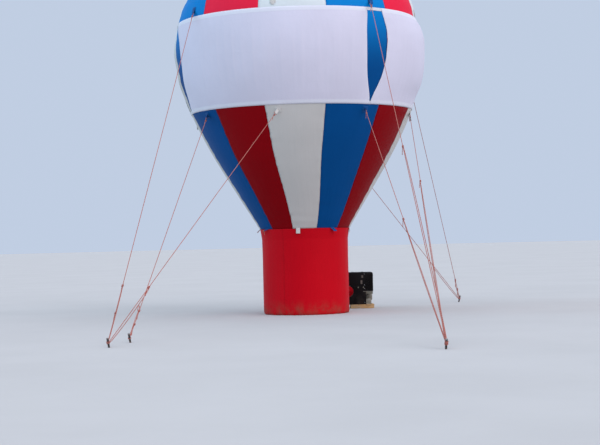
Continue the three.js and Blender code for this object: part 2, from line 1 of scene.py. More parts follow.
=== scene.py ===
"""Looks of a standing advertising balloon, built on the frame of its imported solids.

Lengths are in metres, +Z up, with the origin on the ground under the middle of the base.
Azimuths are degrees from -Y, the camera's side, towards +X. Slopes are degrees of the skin's
normal above the horizontal.
"""
import math

import bmesh
import bpy
from bpy.props import FloatProperty, FloatVectorProperty, IntProperty, PointerProperty
from bpy.types import Operator, Panel, PropertyGroup
from mathutils import Matrix, Vector, noise


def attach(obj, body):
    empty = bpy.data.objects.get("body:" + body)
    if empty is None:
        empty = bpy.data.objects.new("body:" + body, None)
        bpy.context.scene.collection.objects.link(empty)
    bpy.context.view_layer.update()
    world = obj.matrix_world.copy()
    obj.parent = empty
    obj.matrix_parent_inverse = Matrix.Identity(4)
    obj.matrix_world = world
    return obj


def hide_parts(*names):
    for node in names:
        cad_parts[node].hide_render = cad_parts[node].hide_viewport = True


bl_info = {
    "name": "Standing balloon",
    "version": (1, 0, 0),
    "blender": (4, 5, 0),
    "location": "View3D > Sidebar > Balloon",
    "description": "Dresses the solids of a standing advertising balloon",
    "category": "Object",
}

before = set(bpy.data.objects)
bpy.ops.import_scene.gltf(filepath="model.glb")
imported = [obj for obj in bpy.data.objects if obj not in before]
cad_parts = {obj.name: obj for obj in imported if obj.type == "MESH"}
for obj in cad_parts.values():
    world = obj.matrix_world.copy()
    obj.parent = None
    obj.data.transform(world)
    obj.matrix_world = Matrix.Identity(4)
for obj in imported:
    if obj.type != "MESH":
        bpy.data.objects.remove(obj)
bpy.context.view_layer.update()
BODY = "balloon"

# Envelope outline, as in the solids
EQUATOR_R = 2.49
EQUATOR_Z = 5.375
BELLY_R = 3.45
BELLY_SLOPE = -23.2
WAIST_R = 9.1
CONE_SLOPE = -31.7
NECK_Z = 1.7
CROWN_HOLE_R = 0.24
CROWN_PATCH_R = 0.3
CROWN_LIFT = 0.006
ENVELOPE_MIDDLE = (0, 0, 4.6)

# Gores, strips and banners
GORE_COUNT = 12
GORE_SPAN = 360 / GORE_COUNT
FIRST_SEAM = -18.6
GORE_COLOURS = ("white", "blue", "red")
STRIP_HALF = 0.042
STRIP_Z = {"top": 5.775, "bottom": 4.064}
BANNER_PROUD = 0.016
BANNER_SPAN = 120
BANNER_FACES = (150, 58)
BANNER_LEVELS = 400
FRONT_BANNER_AZIMUTH = -24

# Between which heights about a strip's own its tape shows
STRIP_SEEN = {"top": (-0.018, 0.042), "bottom": (-0.042, 0.018)}

# How far the gores are wrung round at the neck and above the banners, in degrees, and up to
# and from which height
NECK_TWIST = 3.5
NECK_TWIST_Z = 3.2
CROWN_TWIST = -1.2
CROWN_TWIST_Z = (5.8, 6.6)

# Where the envelope departs from its round outline. Above the banners it lies further in:
# azimuth and spread in degrees, depth, and the heights between which that sets in. It ends
# between two more heights. Elsewhere it swells or is held in: azimuth, spread, height, its
# spread, and how far
DRAWN_IN = ((85, 28, 0.1, 5.62, 5.9), (-94, 45, 0.04, 6.05, 6.35))
DRAWN_IN_END = (6.9, 7.6)
SWELLS = ((85, 28, 5.7, 0.2, -0.055), (85, 28, 5.2, 0.35, -0.02), (85, 28, 4.24, 0.2, -0.038),
          (-88, 22, 5.25, 0.34, 0.056), (-88, 22, 4.65, 0.26, 0.036))

# Where two banners meet: slope of the skin, and how far the one before and the one after stay
# back from the line they meet on, in degrees. The front banner's left edge has rows of its own,
# and the rear banner stays back further there
PARTING = ((10.24, 5.2, 2.5), (8.27, 5.3, 2.8), (0, 6.2, 5.6), (-6, 5.9, 5.4), (-12, 5.5, 4.4),
           (-17, 3.9, 2), (-21.6, 1.2, -1.1), (-23.1, 1.2, -1.1))
LEFT_PARTING = ((10.24, 5.4), (8.27, 7), (0, 14.5), (-6, 14.5), (-12, 12.8), (-17, 10.8),
                (-21.6, 8), (-23.1, 6.5))
REAR_PARTING_WIDER = 2.1

# Tie straps, ropes and stakes
STRAP_WIDTH = 0.055
STRAP_LENGTH = 0.15
STRAP_EYE = 0.0085
STRAP_PLY = 0.0024
PATCH_WIDTH = 0.11
PATCH_HEIGHT = 0.12
PATCH_LIFT = 0.0042
FIRST_STRAP_AZIMUTH = -12
STRAP_STEP = 45
STRAP_ROWS = {"high": 5.945, "low": 3.93}
NECK_STRAP_LENGTH = 0.125
NECK_STRAP_WIDTH = 0.08
ROPE_R = 0.0055
STAKE_R = 0.016
STAKE_LEAN = 20
STAKE_PROFILE = [(0, -0.02), (0.0155, -0.02), (0.0155, 0.03), (0.0155, 0.09), (0.0155, 0.128),
                 (0.0163, 0.136), (0.0186, 0.142), (0.0192, 0.146), (0.0178, 0.1495),
                 (0.0135, 0.1508), (0.007, 0.151), (0, 0.1512)]
TIE_HEIGHT = 0.072
TIE_STEP = 0.018
STAKES = {
    "front_right": (1.81, -10.15),
    "front_left": (-2.9, -8.4),
    "front_left_inner": (-2.7, -7.45),
    "rear_right": (3.4, 3.2),
    "rear": (-0.7, 5.4),
}

# Ropes: strap azimuth and row, stake, place on it, and where along the rope its hitch sits
GUYS = {
    "front_right_high": (33, "high", "front_right", 2, 0.514),
    "front_right_low": (33, "low", "front_right", 1, 0.558),
    "front_right_side": (78, "low", "front_right", 0, 0.381),
    "front_left_high": (-57, "high", "front_left", 1, 0.867),
    "front_left_low": (-12, "low", "front_left", 0, 0.805),
    "front_left_side": (-57, "low", "front_left_inner", 0, 0.901),
    "rear_right_high": (123, "high", "rear_right", 1, 0.93),
    "rear_right_low": (168, "low", "rear_right", 0, 0.8),
    "rear_high": (213, "high", "rear", 1, 0.85),
    "rear_low": (213, "low", "rear", 0, 0.82),
}

# The rope that is held by a snap hook, the one with a loose loop, and those hitched twice
HOOKED_GUY = "front_right_side"
LOOPED_GUY = "front_left_side"
RETIED_GUYS = ("rear_right_high", "front_left_side", "front_left_high")

PULLS = [(guy[0], STRAP_ROWS[guy[1]]) for guy in GUYS.values()]

# Neck straps that don't hang straight: how far each curls out, drops and swings round, and the
# one with a rope knotted on it
NECK_LIE = {1: (0.055, 0.72, 0.03), 6: (0.055, 0.72, 0.03), 7: (0.03, 0.5, -0.1)}
STRAIGHT_LIE = (0.004, 0.97, 0.0)
KNOTTED_STRAP = 7

# Base: heights and radii of its wall, its mean radius and the one that the sleeve meets, and its
# floor's radius
WALL = ((0.0, 0.834), (0.012, 0.846), (0.035, 0.854), (0.07, 0.858), (1.5, 0.864), (1.7, 0.8952))
WALL_R = 0.86
WALL_FACE_R = 0.8605
FLOOR_R = 0.84

# Blower and board
CABINET = Vector((0.775, 1.4, 0.08)), Vector((1.415, 1.88, 0.755))
NOTCH_X = 1.262
NOTCH_Z = 0.36
AXLE_Y = 1.64
AXLE_Z = 0.262
OUTLET_X = 0.884
OUTLET_Z = 0.355
MOTOR_R = 0.108
FIN_R = 0.1155
MOTOR_X = (1.08, 1.4)
MOTOR_FOOT_HALF = 0.105
BOARD = Vector((0.93, 1.362, 0)), Vector((1.432, 1.922, 0.0797))
DECK = 0.022
PLANKS = 3
PLANK_GAP = 0.008
BEARER = 0.09
BEARER_SET_BACK = 0.006

# Inflation sleeve: its route, how much darker its red is painted as painted shade, and how much
# slimmer and higher it is in its free part
SLEEVE_R = 0.116
SLEEVE_PATH = [(OUTLET_X, 1.375, OUTLET_Z), (OUTLET_X, 1.29, OUTLET_Z), (0.815, 1.12, 0.348),
               (0.69, 0.935, 0.34), (0.48, 0.655, 0.335)]
SLEEVE_STEPS = 72
CLAMP_STEP = 6
SLEEVE_PAINTED_SHADE = 0.5
SLEEVE_NARROWS = 0.024
SLEEVE_RISES = 0.034
SLEEVE_FLANGE = 0.034

# Cloth: how thick the envelope's, the base's and the sleeve's is, the heights between which
# its colour is painted brighter as painted daylight, and the white that wear darkens
SKIN_T = 0.0018
PAINTED_DAYLIGHT_Z = (4.6, 6.0)
WHITE = (1, 1, 1)

# Camera, fitted to the photograph: its place, how far it looks up and leans over, in radians,
# and the width of its sensor in millimetres
CAMERA_PLACE = (-0.093, -30, 1.552)
CAMERA_UP = math.atan(13.5 / 1490)
CAMERA_LEAN = -0.0235
SENSOR_WIDTH = 36


def cosd(angle):
    return math.cos(math.radians(angle))


def sind(angle):
    return math.sin(math.radians(angle))


def smooth(low, high, value):
    """0 at low, 1 at high, and an even curve between them."""
    t = min(1, max(0, (value - low) / (high - low)))
    return t * t * (3 - 2 * t)


def around(azimuth, radius, z):
    """A point at an azimuth, a distance from the axis and a height."""
    return Vector((radius * sind(azimuth), -radius * cosd(azimuth), z))


def azimuth_of(point):
    return math.degrees(math.atan2(point.x, -point.y))


def turn_from(centre, azimuth):
    """The shorter way round from one azimuth to another."""
    return (azimuth - centre + 180) % 360 - 180


def on_axis(spot):
    """The point of the balloon's axis at the height of a spot."""
    return Vector((0, 0, spot.z))


def placed(name, data):
    """A new object in the scene."""
    made = bpy.data.objects.new(name, data)
    bpy.context.scene.collection.objects.link(made)
    return made


def ruffle(x, y, z):
    """Smooth noise, from about -1 to 1."""
    return noise.noise(Vector((x, y, z)))


def outline(slope):
    """Radius and height of the skin where its normal has this slope."""
    if slope >= 0:
        return EQUATOR_R * cosd(slope), EQUATOR_Z + EQUATOR_R * sind(slope)
    belly = max(slope, BELLY_SLOPE)
    radius = EQUATOR_R - BELLY_R * (1 - cosd(belly))
    z = EQUATOR_Z + BELLY_R * sind(belly)
    if slope < BELLY_SLOPE:
        radius -= WAIST_R * (cosd(BELLY_SLOPE) - cosd(slope))
        z -= WAIST_R * (sind(BELLY_SLOPE) - sind(slope))
    return radius, z


BELLY_END_Z = outline(BELLY_SLOPE)[1]
CONE_R, CONE_Z = outline(CONE_SLOPE)
CONE_LEAN = math.tan(math.radians(-CONE_SLOPE))
CROWN_RUN = EQUATOR_R * math.pi / 2
BELLY_RUN = CROWN_RUN + BELLY_R * math.radians(-BELLY_SLOPE)
WAIST_RUN = BELLY_RUN + WAIST_R * math.radians(BELLY_SLOPE - CONE_SLOPE)
NECK_RUN = WAIST_RUN + (CONE_Z - NECK_Z) / cosd(CONE_SLOPE)


def skin_at(z):
    """Radius, slope and length of skin down from the crown, at one height."""
    if z >= EQUATOR_Z:
        slope = math.degrees(math.asin(min(1, (z - EQUATOR_Z) / EQUATOR_R)))
        return outline(slope)[0], slope, EQUATOR_R * math.radians(90 - slope)
    if z >= BELLY_END_Z:
        slope = math.degrees(math.asin((z - EQUATOR_Z) / BELLY_R))
        return outline(slope)[0], slope, CROWN_RUN - BELLY_R * math.radians(slope)
    if z >= CONE_Z:
        sine = sind(BELLY_SLOPE) - (BELLY_END_Z - z) / WAIST_R
        slope = math.degrees(math.asin(sine))
        return outline(slope)[0], slope, BELLY_RUN + WAIST_R * math.radians(BELLY_SLOPE - slope)
    run = WAIST_RUN + (CONE_Z - z) / cosd(CONE_SLOPE)
    return CONE_R - (CONE_Z - z) * CONE_LEAN, CONE_SLOPE, run


def meridian(pitch):
    """Radii and heights down the skin from the crown's ring to the neck, a pitch apart."""
    hole = math.degrees(math.acos(CROWN_HOLE_R / EQUATOR_R))
    rows = []
    arcs = ((EQUATOR_R, hole, 0), (BELLY_R, 0, BELLY_SLOPE), (WAIST_R, BELLY_SLOPE, CONE_SLOPE))
    for radius, start, end in arcs:
        count = math.ceil(radius * math.radians(start - end) / pitch)
        rows += [outline(start + (end - start) * i / count) for i in range(count)]
    count = math.ceil((NECK_RUN - WAIST_RUN) / pitch)
    for i in range(count + 1):
        z = CONE_Z + (NECK_Z - CONE_Z) * i / count
        rows.append((CONE_R - (CONE_Z - z) * CONE_LEAN, z))
    return rows


def twist_at(z):
    """How far round the gores' seams have wandered at a height, in degrees."""
    return (NECK_TWIST * (1 - smooth(NECK_Z, NECK_TWIST_Z, z))
            + CROWN_TWIST * smooth(*CROWN_TWIST_Z, z))


def drift(azimuth, z):
    """How far the envelope, with all that is sewn to it, departs from its round outline."""
    height = 0.0
    for centre, spread, depth, low, high in DRAWN_IN:
        sweep = turn_from(centre, azimuth)
        height -= (depth * math.exp(-(sweep / spread) ** 2) * smooth(low, high, z)
                   * (1 - smooth(*DRAWN_IN_END, z)))
    for centre, spread, level, rise, depth in SWELLS:
        sweep = turn_from(centre, azimuth)
        height += depth * math.exp(-(sweep / spread) ** 2 - ((z - level) / rise) ** 2)
    return height


def relief(azimuth, z):
    """How far the skin stands off its plain outline: lobes, puckers, folds and rope pulls."""
    cloth = bpy.context.scene.balloon_cloth
    radius, _, run = skin_at(z)
    gore = (azimuth - twist_at(z) - FIRST_SEAM) / GORE_SPAN
    across = abs(2 * (gore % 1) - 1)
    seam = (1 - across) / 2 * math.radians(GORE_SPAN) * radius
    nearest_strip = min(abs(z - strip_z) for strip_z in STRIP_Z.values())
    calm = smooth(0.04, 0.28, nearest_strip) * smooth(CROWN_PATCH_R, 0.9, run)
    neck = NECK_RUN - run
    point = around(azimuth, radius, z)
    height = drift(azimuth, z) - cloth.lobe * across ** 2 * calm * smooth(-0.1, 1.2, neck)
    puckers = ruffle(run * 8.5, 3.1 * round(gore), 0)
    height += cloth.pucker * calm * math.exp(-seam / 0.1) * puckers
    folds = ruffle(point.x * 1.6, point.y * 1.6, run * 9)
    height += cloth.fold * folds * math.exp(-neck / 0.3) * smooth(0, 0.05, neck)
    height += 0.005 * noise.noise(point * 1.1) * smooth(0, 0.4, neck) * (0.3 + 0.7 * calm)
    for pull_azimuth, pull_z in PULLS:
        if abs(z - pull_z) < 0.4:
            sweep = turn_from(pull_azimuth, azimuth)
            gap = math.hypot(math.radians(sweep) * radius, z - pull_z)
            height += cloth.pull * math.exp(-(gap / 0.12) ** 2)
    return height


def on_skin(azimuth, z, lift=0.0):
    """A point of the skin with its relief, and the plain outline's normal there."""
    radius, slope, _ = skin_at(z)
    normal = around(azimuth, cosd(slope), sind(slope))
    return around(azimuth, radius, z) + normal * (relief(azimuth, z) + lift), normal


def wall_at(azimuth, z, lift=0.0):
    """A point of the base's wall, gathered where it is sewn at its foot and its neck."""
    cloth = bpy.context.scene.balloon_cloth
    radius = WALL[-1][1]
    for (z0, r0), (z1, r1) in zip(WALL, WALL[1:]):
        if z <= z1:
            radius = r0 + (r1 - r0) * (z - z0) / (z1 - z0)
            break
    turn = around(azimuth, 1, 0)
    foot = math.exp(-z / 0.09)
    neck = math.exp(-(NECK_Z - z) / 0.1)
    gathers = ruffle(turn.x * 9, turn.y * 9, z * 2)
    billow = ruffle(turn.x * 2.2, turn.y * 2.2, z * 1.4)
    radius += cloth.fold * gathers * (0.9 * foot + 0.5 * neck * smooth(0, 0.03, NECK_Z - z))
    radius += 0.006 * billow * smooth(0, 0.15, z) * smooth(0, 0.2, NECK_Z - z)
    return around(azimuth, radius + lift, z)


class Value:
    """A socket of a material's graph, with Python's operators for shader maths."""

    def __init__(self, graph, socket):
        self.graph = graph
        self.socket = socket

    def maths(self, operation, *others, swapped=False):
        terms = (*others, self) if swapped else (self, *others)
        return self.graph.add("ShaderNodeMath", {"operation": operation}, dict(enumerate(terms)))

    def __add__(self, other):
        return self.maths("ADD", other)

    def __sub__(self, other):
        return self.maths("SUBTRACT", other)

    def __rsub__(self, other):
        return self.maths("SUBTRACT", other, swapped=True)

    def __mul__(self, other):
        return self.maths("MULTIPLY", other)

    def __truediv__(self, other):
        return self.maths("DIVIDE", other)

    __radd__ = __add__

    def most(self, other):
        return self.maths("MAXIMUM", other)

    def least(self, other):
        return self.maths("MINIMUM", other)

    def fraction(self):
        return self.maths("FRACT")

    def size(self):
        return self.maths("ABSOLUTE")

    def rise(self, low, high):
        """0 up to low, 1 from high on, and a smooth step between."""
        return self.graph.add("ShaderNodeMapRange", {"interpolation_type": "SMOOTHSTEP"},
                              {"Value": self, "From Min": low, "From Max": high})

    def ridge(self, low, high=0.5):
        """A raised line at each whole number."""
        return (self.fraction() - 0.5).size().rise(low, high)

    def part(self, index):
        """Another output of the node that this value comes from."""
        return Value(self.graph, self.socket.node.outputs[index])


class Finish:
    """One material's node graph."""

    def __init__(self, name):
        self.material = bpy.data.materials.new(name)
        self.material.use_nodes = True
        self.tree = self.material.node_tree
        self.tree.nodes.clear()

    def add(self, kind, settings=None, sockets=None, output=0):
        """A node with its settings made first, then its sockets, and one of its outputs."""
        node = self.tree.nodes.new(kind)
        for name, value in (settings or {}).items():
            setattr(node, name, value)
        for name, value in (sockets or {}).items():
            if isinstance(value, Value):
                self.tree.links.new(value.socket, node.inputs[name])
            else:
                node.inputs[name].default_value = value
        return Value(self, node.outputs[output]) if len(node.outputs) else node

    def place(self):
        """Object coordinates in metres."""
        return self.add("ShaderNodeTexCoord", output=3)

    def layer(self, name):
        """The two numbers of one of the piece's own UV layers."""
        across = self.split(self.add("ShaderNodeUVMap", {"uv_map": name}))
        return across, across.part(1)

    def split(self, vector):
        return self.add("ShaderNodeSeparateXYZ", sockets={0: vector})

    def stretched(self, vector, scale, turn=(0, 0, 0)):
        return self.add("ShaderNodeMapping", sockets={0: vector, "Rotation": turn, "Scale": scale})

    def cloud(self, vector, scale, detail=3.0, roughness=0.55):
        """Noise from about 0.2 to 0.8."""
        return self.add("ShaderNodeTexNoise", sockets={
            "Vector": vector, "Scale": scale, "Detail": detail, "Roughness": roughness})

    def drawn_cloud(self, x, y, scale, detail):
        """Noise over two numbers, drawn out along them."""
        plane = self.add("ShaderNodeCombineXYZ", sockets={0: x, 1: y})
        return self.cloud(self.stretched(plane, (*scale, 1)), 1, detail)

    def cells(self, vector, scale, feature="F1", output=0):
        return self.add("ShaderNodeTexVoronoi", {"feature": feature},
                        {"Vector": vector, "Scale": scale}, output)

    def mix(self, factor, first, second, blend="MIX"):
        """Two colours, mixed by a factor."""
        colours = [value if isinstance(value, Value) else (*value[:3], 1)
                   for value in (first, second)]
        return self.add("ShaderNodeMix", {"data_type": "RGBA", "blend_type": blend},
                        {0: factor, 6: colours[0], 7: colours[1]}, 2)

    def coats(self, base, *coats):
        """A base colour with others laid over it in turn, each by its own factor."""
        for factor, colour in coats:
            base = self.mix(factor, base, colour)
        return base

    def surface(self, base, roughness, height=None, depth=0.001, strength=1.0, more=None):
        """The Principled surface, with a bump from the height where there is one."""
        sockets = {"Base Color": base if isinstance(base, Value) else (*base[:3], 1),
                   "Roughness": roughness, **(more or {})}
        if height is not None:
            sockets["Normal"] = self.add("ShaderNodeBump", sockets={
                "Strength": strength, "Distance": depth, "Height": height})
        shader = self.add("ShaderNodeBsdfPrincipled", sockets=sockets)
        self.add("ShaderNodeOutputMaterial", sockets={"Surface": shader})
        return self.material


def shade(colour, factor):
    return tuple(min(1.0, channel * factor) for channel in colour[:3])


def coated_nylon(name, colour, lit, crease=1.0, streaks=1.0):
    """Coated ripstop nylon with double-stitched lap seams and packing creases. High up its
    colour is painted brighter, from its own colour to its lit colour, as painted daylight."""
    g = Finish(name)
    x, y = g.layer("weave")
    seam, hem = g.layer("edge")
    place = g.place()
    threads = (x / 0.0065).ridge(0.44).most((y / 0.0065).ridge(0.44))
    fold_x = (x / 0.46 + 0.25).ridge(0.494)
    fold_y = (y / 0.62 + 0.4).ridge(0.4955)
    folds = fold_x.most(fold_y) * g.cloud(place, 0.9, 2).rise(0.42, 0.62)
    crinkle = g.cloud(place, 7, 5, 0.62)
    lines = g.drawn_cloud(x, y, (17, 1.1), 3)
    lap = 1 - seam.rise(0.015, 0.0165)
    rows = (seam - 0.004).size().least((seam - 0.0125).size()).least((hem - 0.006).size())
    dash = (y / 0.0045).ridge(0.16, 0.22)
    stitches = (1 - rows.rise(0.0005, 0.0011)) * dash
    pucker = g.drawn_cloud(seam, y, (8, 24), 2) * (1 - seam.rise(0.01, 0.14))
    height = (threads * 0.04 + folds * 0.5 * crease + crinkle * 1.3 * crease
              + lines * 1.2 * streaks + lap * 0.35 + stitches * 0.3 + pucker * 2.4)
    cloudy = g.cloud(place, 0.55, 4).rise(0.3, 0.7)
    wear = g.coats(shade(WHITE, 0.9), (cloudy, WHITE), (threads * 0.10, shade(WHITE, 0.8)),
                   (lines.rise(0.45, 0.75) * 0.10 * streaks, shade(WHITE, 0.82)),
                   (lap * 0.28, shade(WHITE, 0.72)), (stitches * 0.5, shade(WHITE, 0.55)))
    level = g.split(place).part(2)
    # Painted daylight: between these heights the base colour is painted from the plain colour up
    # to the lit one.
    base = g.mix(level.rise(*PAINTED_DAYLIGHT_Z), colour, lit)
    tone = g.mix(1.0, base, wear, "MULTIPLY")
    grime = (1 - level.rise(0.0, 0.34)) * g.cloud(place, 5, 5, 0.7).rise(0.36, 0.7)
    tone = g.mix(grime * 0.55, tone, (0.13, 0.09, 0.055))
    gloss = 0.44 + crinkle * 0.14 + folds * 0.08 + grime * 0.2
    return g.surface(tone, gloss, height, depth=0.006, strength=0.45,
                     more={"Specular IOR Level": 0.05})


def sewn_webbing(name, colour):
    """Folded strap cloth with a herringbone face and stitched ends."""
    g = Finish(name)
    x, y = g.layer("weave")
    seam, hem = g.layer("edge")
    herring = ((x / 0.006).ridge(0.0) * 2 + y / 0.0032).ridge(0.2)
    box = (seam - 0.005).size().least((hem - 0.006).size()).least((hem - 0.03).size())
    stitches = (1 - box.rise(0.0006, 0.0013)) * (y / 0.004 + x / 0.004).ridge(0.18, 0.24)
    worn = g.cloud(g.place(), 30, 4).rise(0.42, 0.68)
    tone = g.coats(colour, (herring * 0.25, shade(colour, 0.68)),
                   (worn * 0.22, shade(colour, 1.35)), (stitches * 0.6, shade(colour, 1.6)))
    return g.surface(tone, 0.7 + worn * 0.1, herring * 0.5 + stitches * 0.6, depth=0.0012,
                     more={"Specular IOR Level": 0.2, "Sheen Weight": 0.03})


def fleecy_strip(name, colour):
    """The loop side of hook-and-loop tape: a brushed nap between two stitched edges."""
    g = Finish(name)
    x, _ = g.layer("weave")
    seam, _ = g.layer("edge")
    nap = g.cloud(g.place(), 420, 3, 0.7)
    tufts = g.cells(g.place(), 190)
    selvedge = 1 - seam.rise(0.005, 0.0065)
    stitches = (1 - (seam - 0.003).size().rise(0.0005, 0.001)) * (x / 0.005).ridge(0.16, 0.22)
    soil = g.cloud(g.place(), 3.4, 5).rise(0.45, 0.75)
    tone = g.coats(colour, (nap.rise(0.3, 0.7) * 0.3, shade(colour, 0.8)),
                   (selvedge * 0.35, shade(colour, 0.7)), (stitches * 0.5, shade(colour, 0.5)),
                   (soil * 0.14, (0.32, 0.3, 0.26)))
    nap_height = (nap + tufts * 0.8) * (1 - selvedge) + stitches * 0.4
    return g.surface(tone, 0.86, nap_height, depth=0.0014,
                     more={"Specular IOR Level": 0.15, "Sheen Weight": 0.1})


def printed_cloth(name, colour):
    """Blank banner cloth: a close satin polyester with a folded hem and packing creases."""
    g = Finish(name)
    x, y = g.layer("weave")
    seam, hem = g.layer("edge")
    place = g.place()
    band = 1 - hem.rise(0.084, 0.0855)
    fold = band.most(1 - seam.rise(0.026, 0.0275))
    rows = (seam - 0.004).size().least((seam - 0.022).size()).least((hem - 0.004).size())
    rows = rows.least((hem - 0.08).size())
    stitches = (1 - rows.rise(0.0005, 0.0011)) * ((x + y) / 0.0045).ridge(0.16, 0.22)
    creases = (x / 0.6 + 0.1).ridge(0.4955).most((y / 0.61).ridge(0.4945))
    creases = creases * g.cloud(place, 1.6, 2).rise(0.36, 0.6)
    weave = (x / 0.0018).ridge(0.1) * (y / 0.0018).ridge(0.1)
    ripple = g.drawn_cloud(x, y, (9, 1.5), 3)
    crinkle = g.cloud(place, 11, 5, 0.6)
    cloudy = g.cloud(place, 0.8, 4).rise(0.3, 0.7)
    tone = g.coats(shade(colour, 0.955), (cloudy, shade(colour, 1.02)),
                   (fold * 0.5, (0.72, 0.74, 0.78)), (stitches * 0.45, shade(colour, 0.62)),
                   (creases * 0.12, shade(colour, 0.8)))
    height = (weave * 0.03 + creases * 0.5 + ripple * 1.1 + crinkle * 0.7 + fold * 0.4
              + stitches * 0.25)
    return g.surface(tone, 0.5 + crinkle * 0.12, height, depth=0.006, strength=0.5,
                     more={"Specular IOR Level": 0.08})


def laid_rope(name, colour):
    """Three-strand rope with fibres along each strand and one paler strand. The grooves
    between its strands are painted darker, as painted shade.
    """
    g = Finish(name)
    turns, along = g.layer("weave")
    twist = turns * 3 + along / 0.014
    strand = (twist.fraction() - 0.5).size() * 2
    crown = 1 - strand * strand
    fibres = (turns * 38 - along / 0.0035).ridge(0.1)
    marker = (twist / 3).fraction().rise(0.6, 0.68)
    fade = g.cloud(g.place(), 2.2, 4).rise(0.35, 0.7)
    # Painted shade: the rope is painted dark in the grooves between strands and full colour on
    # their crowns.
    tone = g.coats(shade(colour, 0.32), (crown.rise(0.05, 0.7), colour),
                   (marker * 0.4, (0.86, 0.62, 0.5)), (fibres * 0.16, shade(colour, 0.6)),
                   (fade * 0.3, shade(colour, 1.35)))
    return g.surface(tone, 0.78, crown + fibres * 0.12, depth=0.0018,
                     more={"Specular IOR Level": 0.2})


def painted_steel(name, colour, driven=False):
    """Black painted steel. What is driven in is battered bare at its top and rusts low down."""
    g = Finish(name)
    place = g.place()
    height = g.split(place).part(2)
    chips = g.cloud(place, 95, 5, 0.7).rise(*((0.56, 0.62) if driven else (0.66, 0.7)))
    bared = chips * 0.6
    if driven:
        ends = height.rise(0.11, 0.142)
        bared = bared.most(ends * g.cloud(place, 55, 4).rise(0.38, 0.5))
    low_down = (1 - height.rise(0.0, 0.06)).most(0.3 if driven else 0.12)
    rust = g.cloud(place, 38, 6, 0.72).rise(0.52, 0.66) * low_down
    soil = (1 - height.rise(0.0, 0.035)) * g.cloud(place, 60, 4).rise(0.35, 0.6)
    tone = g.coats(colour, (bared, (0.3, 0.28, 0.27)), (rust, (0.19, 0.07, 0.03)),
                   (soil * 0.8, (0.14, 0.1, 0.065)))
    rough = 0.42 + rust * 0.4 + soil * 0.4
    return g.surface(tone, rough, g.cloud(place, 260, 4) * 0.6 - chips * 0.5, depth=0.0008,
                     more={"Metallic": bared * 0.9})


def moulded_plastic(name, colour):
    """Moulded plastic: a fine leather grain, scuffs, and dust that gathers low down."""
    g = Finish(name)
    place = g.place()
    pebbles = g.cells(place, 240.0, "SMOOTH_F1")
    scuff = g.cloud(g.stretched(place, (3, 14, 60), (0.2, 0.5, 0.1)), 1.6, 6, 0.7).rise(0.6, 0.68)
    low_down = 1 - g.split(place).part(2).rise(0.05, 0.5)
    film = g.cloud(place, 6, 5, 0.6).rise(0.35, 0.75) * low_down
    tone = g.coats(colour, (scuff * 0.2, (0.05, 0.05, 0.055)), (film * 0.22, (0.16, 0.13, 0.1)),
                   (g.cloud(place, 2.5, 3).rise(0.3, 0.7) * 0.3, shade(colour, 1.7)))
    rough = 0.46 + scuff * 0.2 + film * 0.3
    return g.surface(tone, rough, pebbles + scuff * 0.4, depth=0.0005, strength=0.6,
                     more={"Specular IOR Level": 0.12})


def enamelled_metal(name, colour):
    """Grey enamel on cast metal, dull with dust and chipped along its fins."""
    g = Finish(name)
    place = g.place()
    chips = g.cloud(place, 70, 5, 0.72).rise(0.6, 0.65)
    film = g.cloud(place, 9, 5, 0.6).rise(0.35, 0.75)
    tone = g.coats(shade(colour, 0.88), (g.cloud(place, 4, 4).rise(0.3, 0.7), shade(colour, 1.08)),
                   (film * 0.3, (0.2, 0.18, 0.15)), (chips, (0.1, 0.1, 0.1)))
    height = g.cloud(place, 320, 3) * 0.5 - chips * 0.8
    return g.surface(tone, 0.45 + film * 0.25, height, depth=0.0006, more={"Metallic": 0.1})


def zinc_plate(name, colour):
    """Galvanised sheet with its spangle, a little stained."""
    g = Finish(name)
    place = g.place()
    spangle = g.split(g.cells(place, 75, output=1))
    stain = g.cloud(place, 22, 5, 0.7).rise(0.5, 0.75)
    tone = g.coats(shade(colour, 0.86), (spangle * 0.6, shade(colour, 1.08)),
                   (stain * 0.2, (0.36, 0.35, 0.33)))
    return g.surface(tone, 0.38 + spangle * 0.12 + stain * 0.15, spangle, depth=0.00005,
                     more={"Metallic": 0.92})


def sawn_wood(name, colour, turn=0.0):
    """Weathered softwood: grain along X, or turned from it, with knots and greyed edges."""
    g = Finish(name)
    place = g.stretched(g.place(), (1, 1, 1), (0, 0, turn))
    shift = g.cloud(g.stretched(place, (0.9, 5, 5)), 2.2, 3)
    rings = g.add("ShaderNodeTexWave", {"bands_direction": "Y", "wave_profile": "SAW"}, {
        "Vector": g.stretched(place, (0.35, 1, 1)), "Scale": 11.0, "Distortion": 7.0,
        "Detail": 3.0, "Detail Scale": 1.4}, 1)
    pores = g.cloud(g.stretched(place, (7, 260, 260)), 1, 4, 0.6)
    knots = g.cells(g.stretched(place, (2.2, 7.5, 0.1)), 1.0)
    knot = 1 - knots.rise(0.1, 0.19)
    weather = g.cloud(place, 5, 5, 0.65).rise(0.35, 0.7)
    tone = g.coats(shade(colour, 1.12), (rings * 0.7, shade(colour, 0.66)),
                   (shift.rise(0.35, 0.7) * 0.45, shade(colour, 0.8)),
                   (pores.rise(0.5, 0.72) * 0.5, shade(colour, 0.42)),
                   (knot * 0.85, (0.13, 0.06, 0.03)), (weather * 0.4, (0.33, 0.3, 0.26)))
    height = pores * 0.7 + rings * 0.5 - knot * 0.3
    return g.surface(tone, 0.8, height, depth=0.0013)


def moulded_rubber(name, colour):
    """Black rubber with a dull bloom."""
    g = Finish(name)
    place = g.place()
    bloom = g.cloud(place, 40, 5, 0.6).rise(0.4, 0.75)
    tone = g.mix(bloom * 0.4, colour, (0.09, 0.085, 0.08))
    return g.surface(tone, 0.72 + bloom * 0.15, g.cloud(place, 500, 2), depth=0.0003)


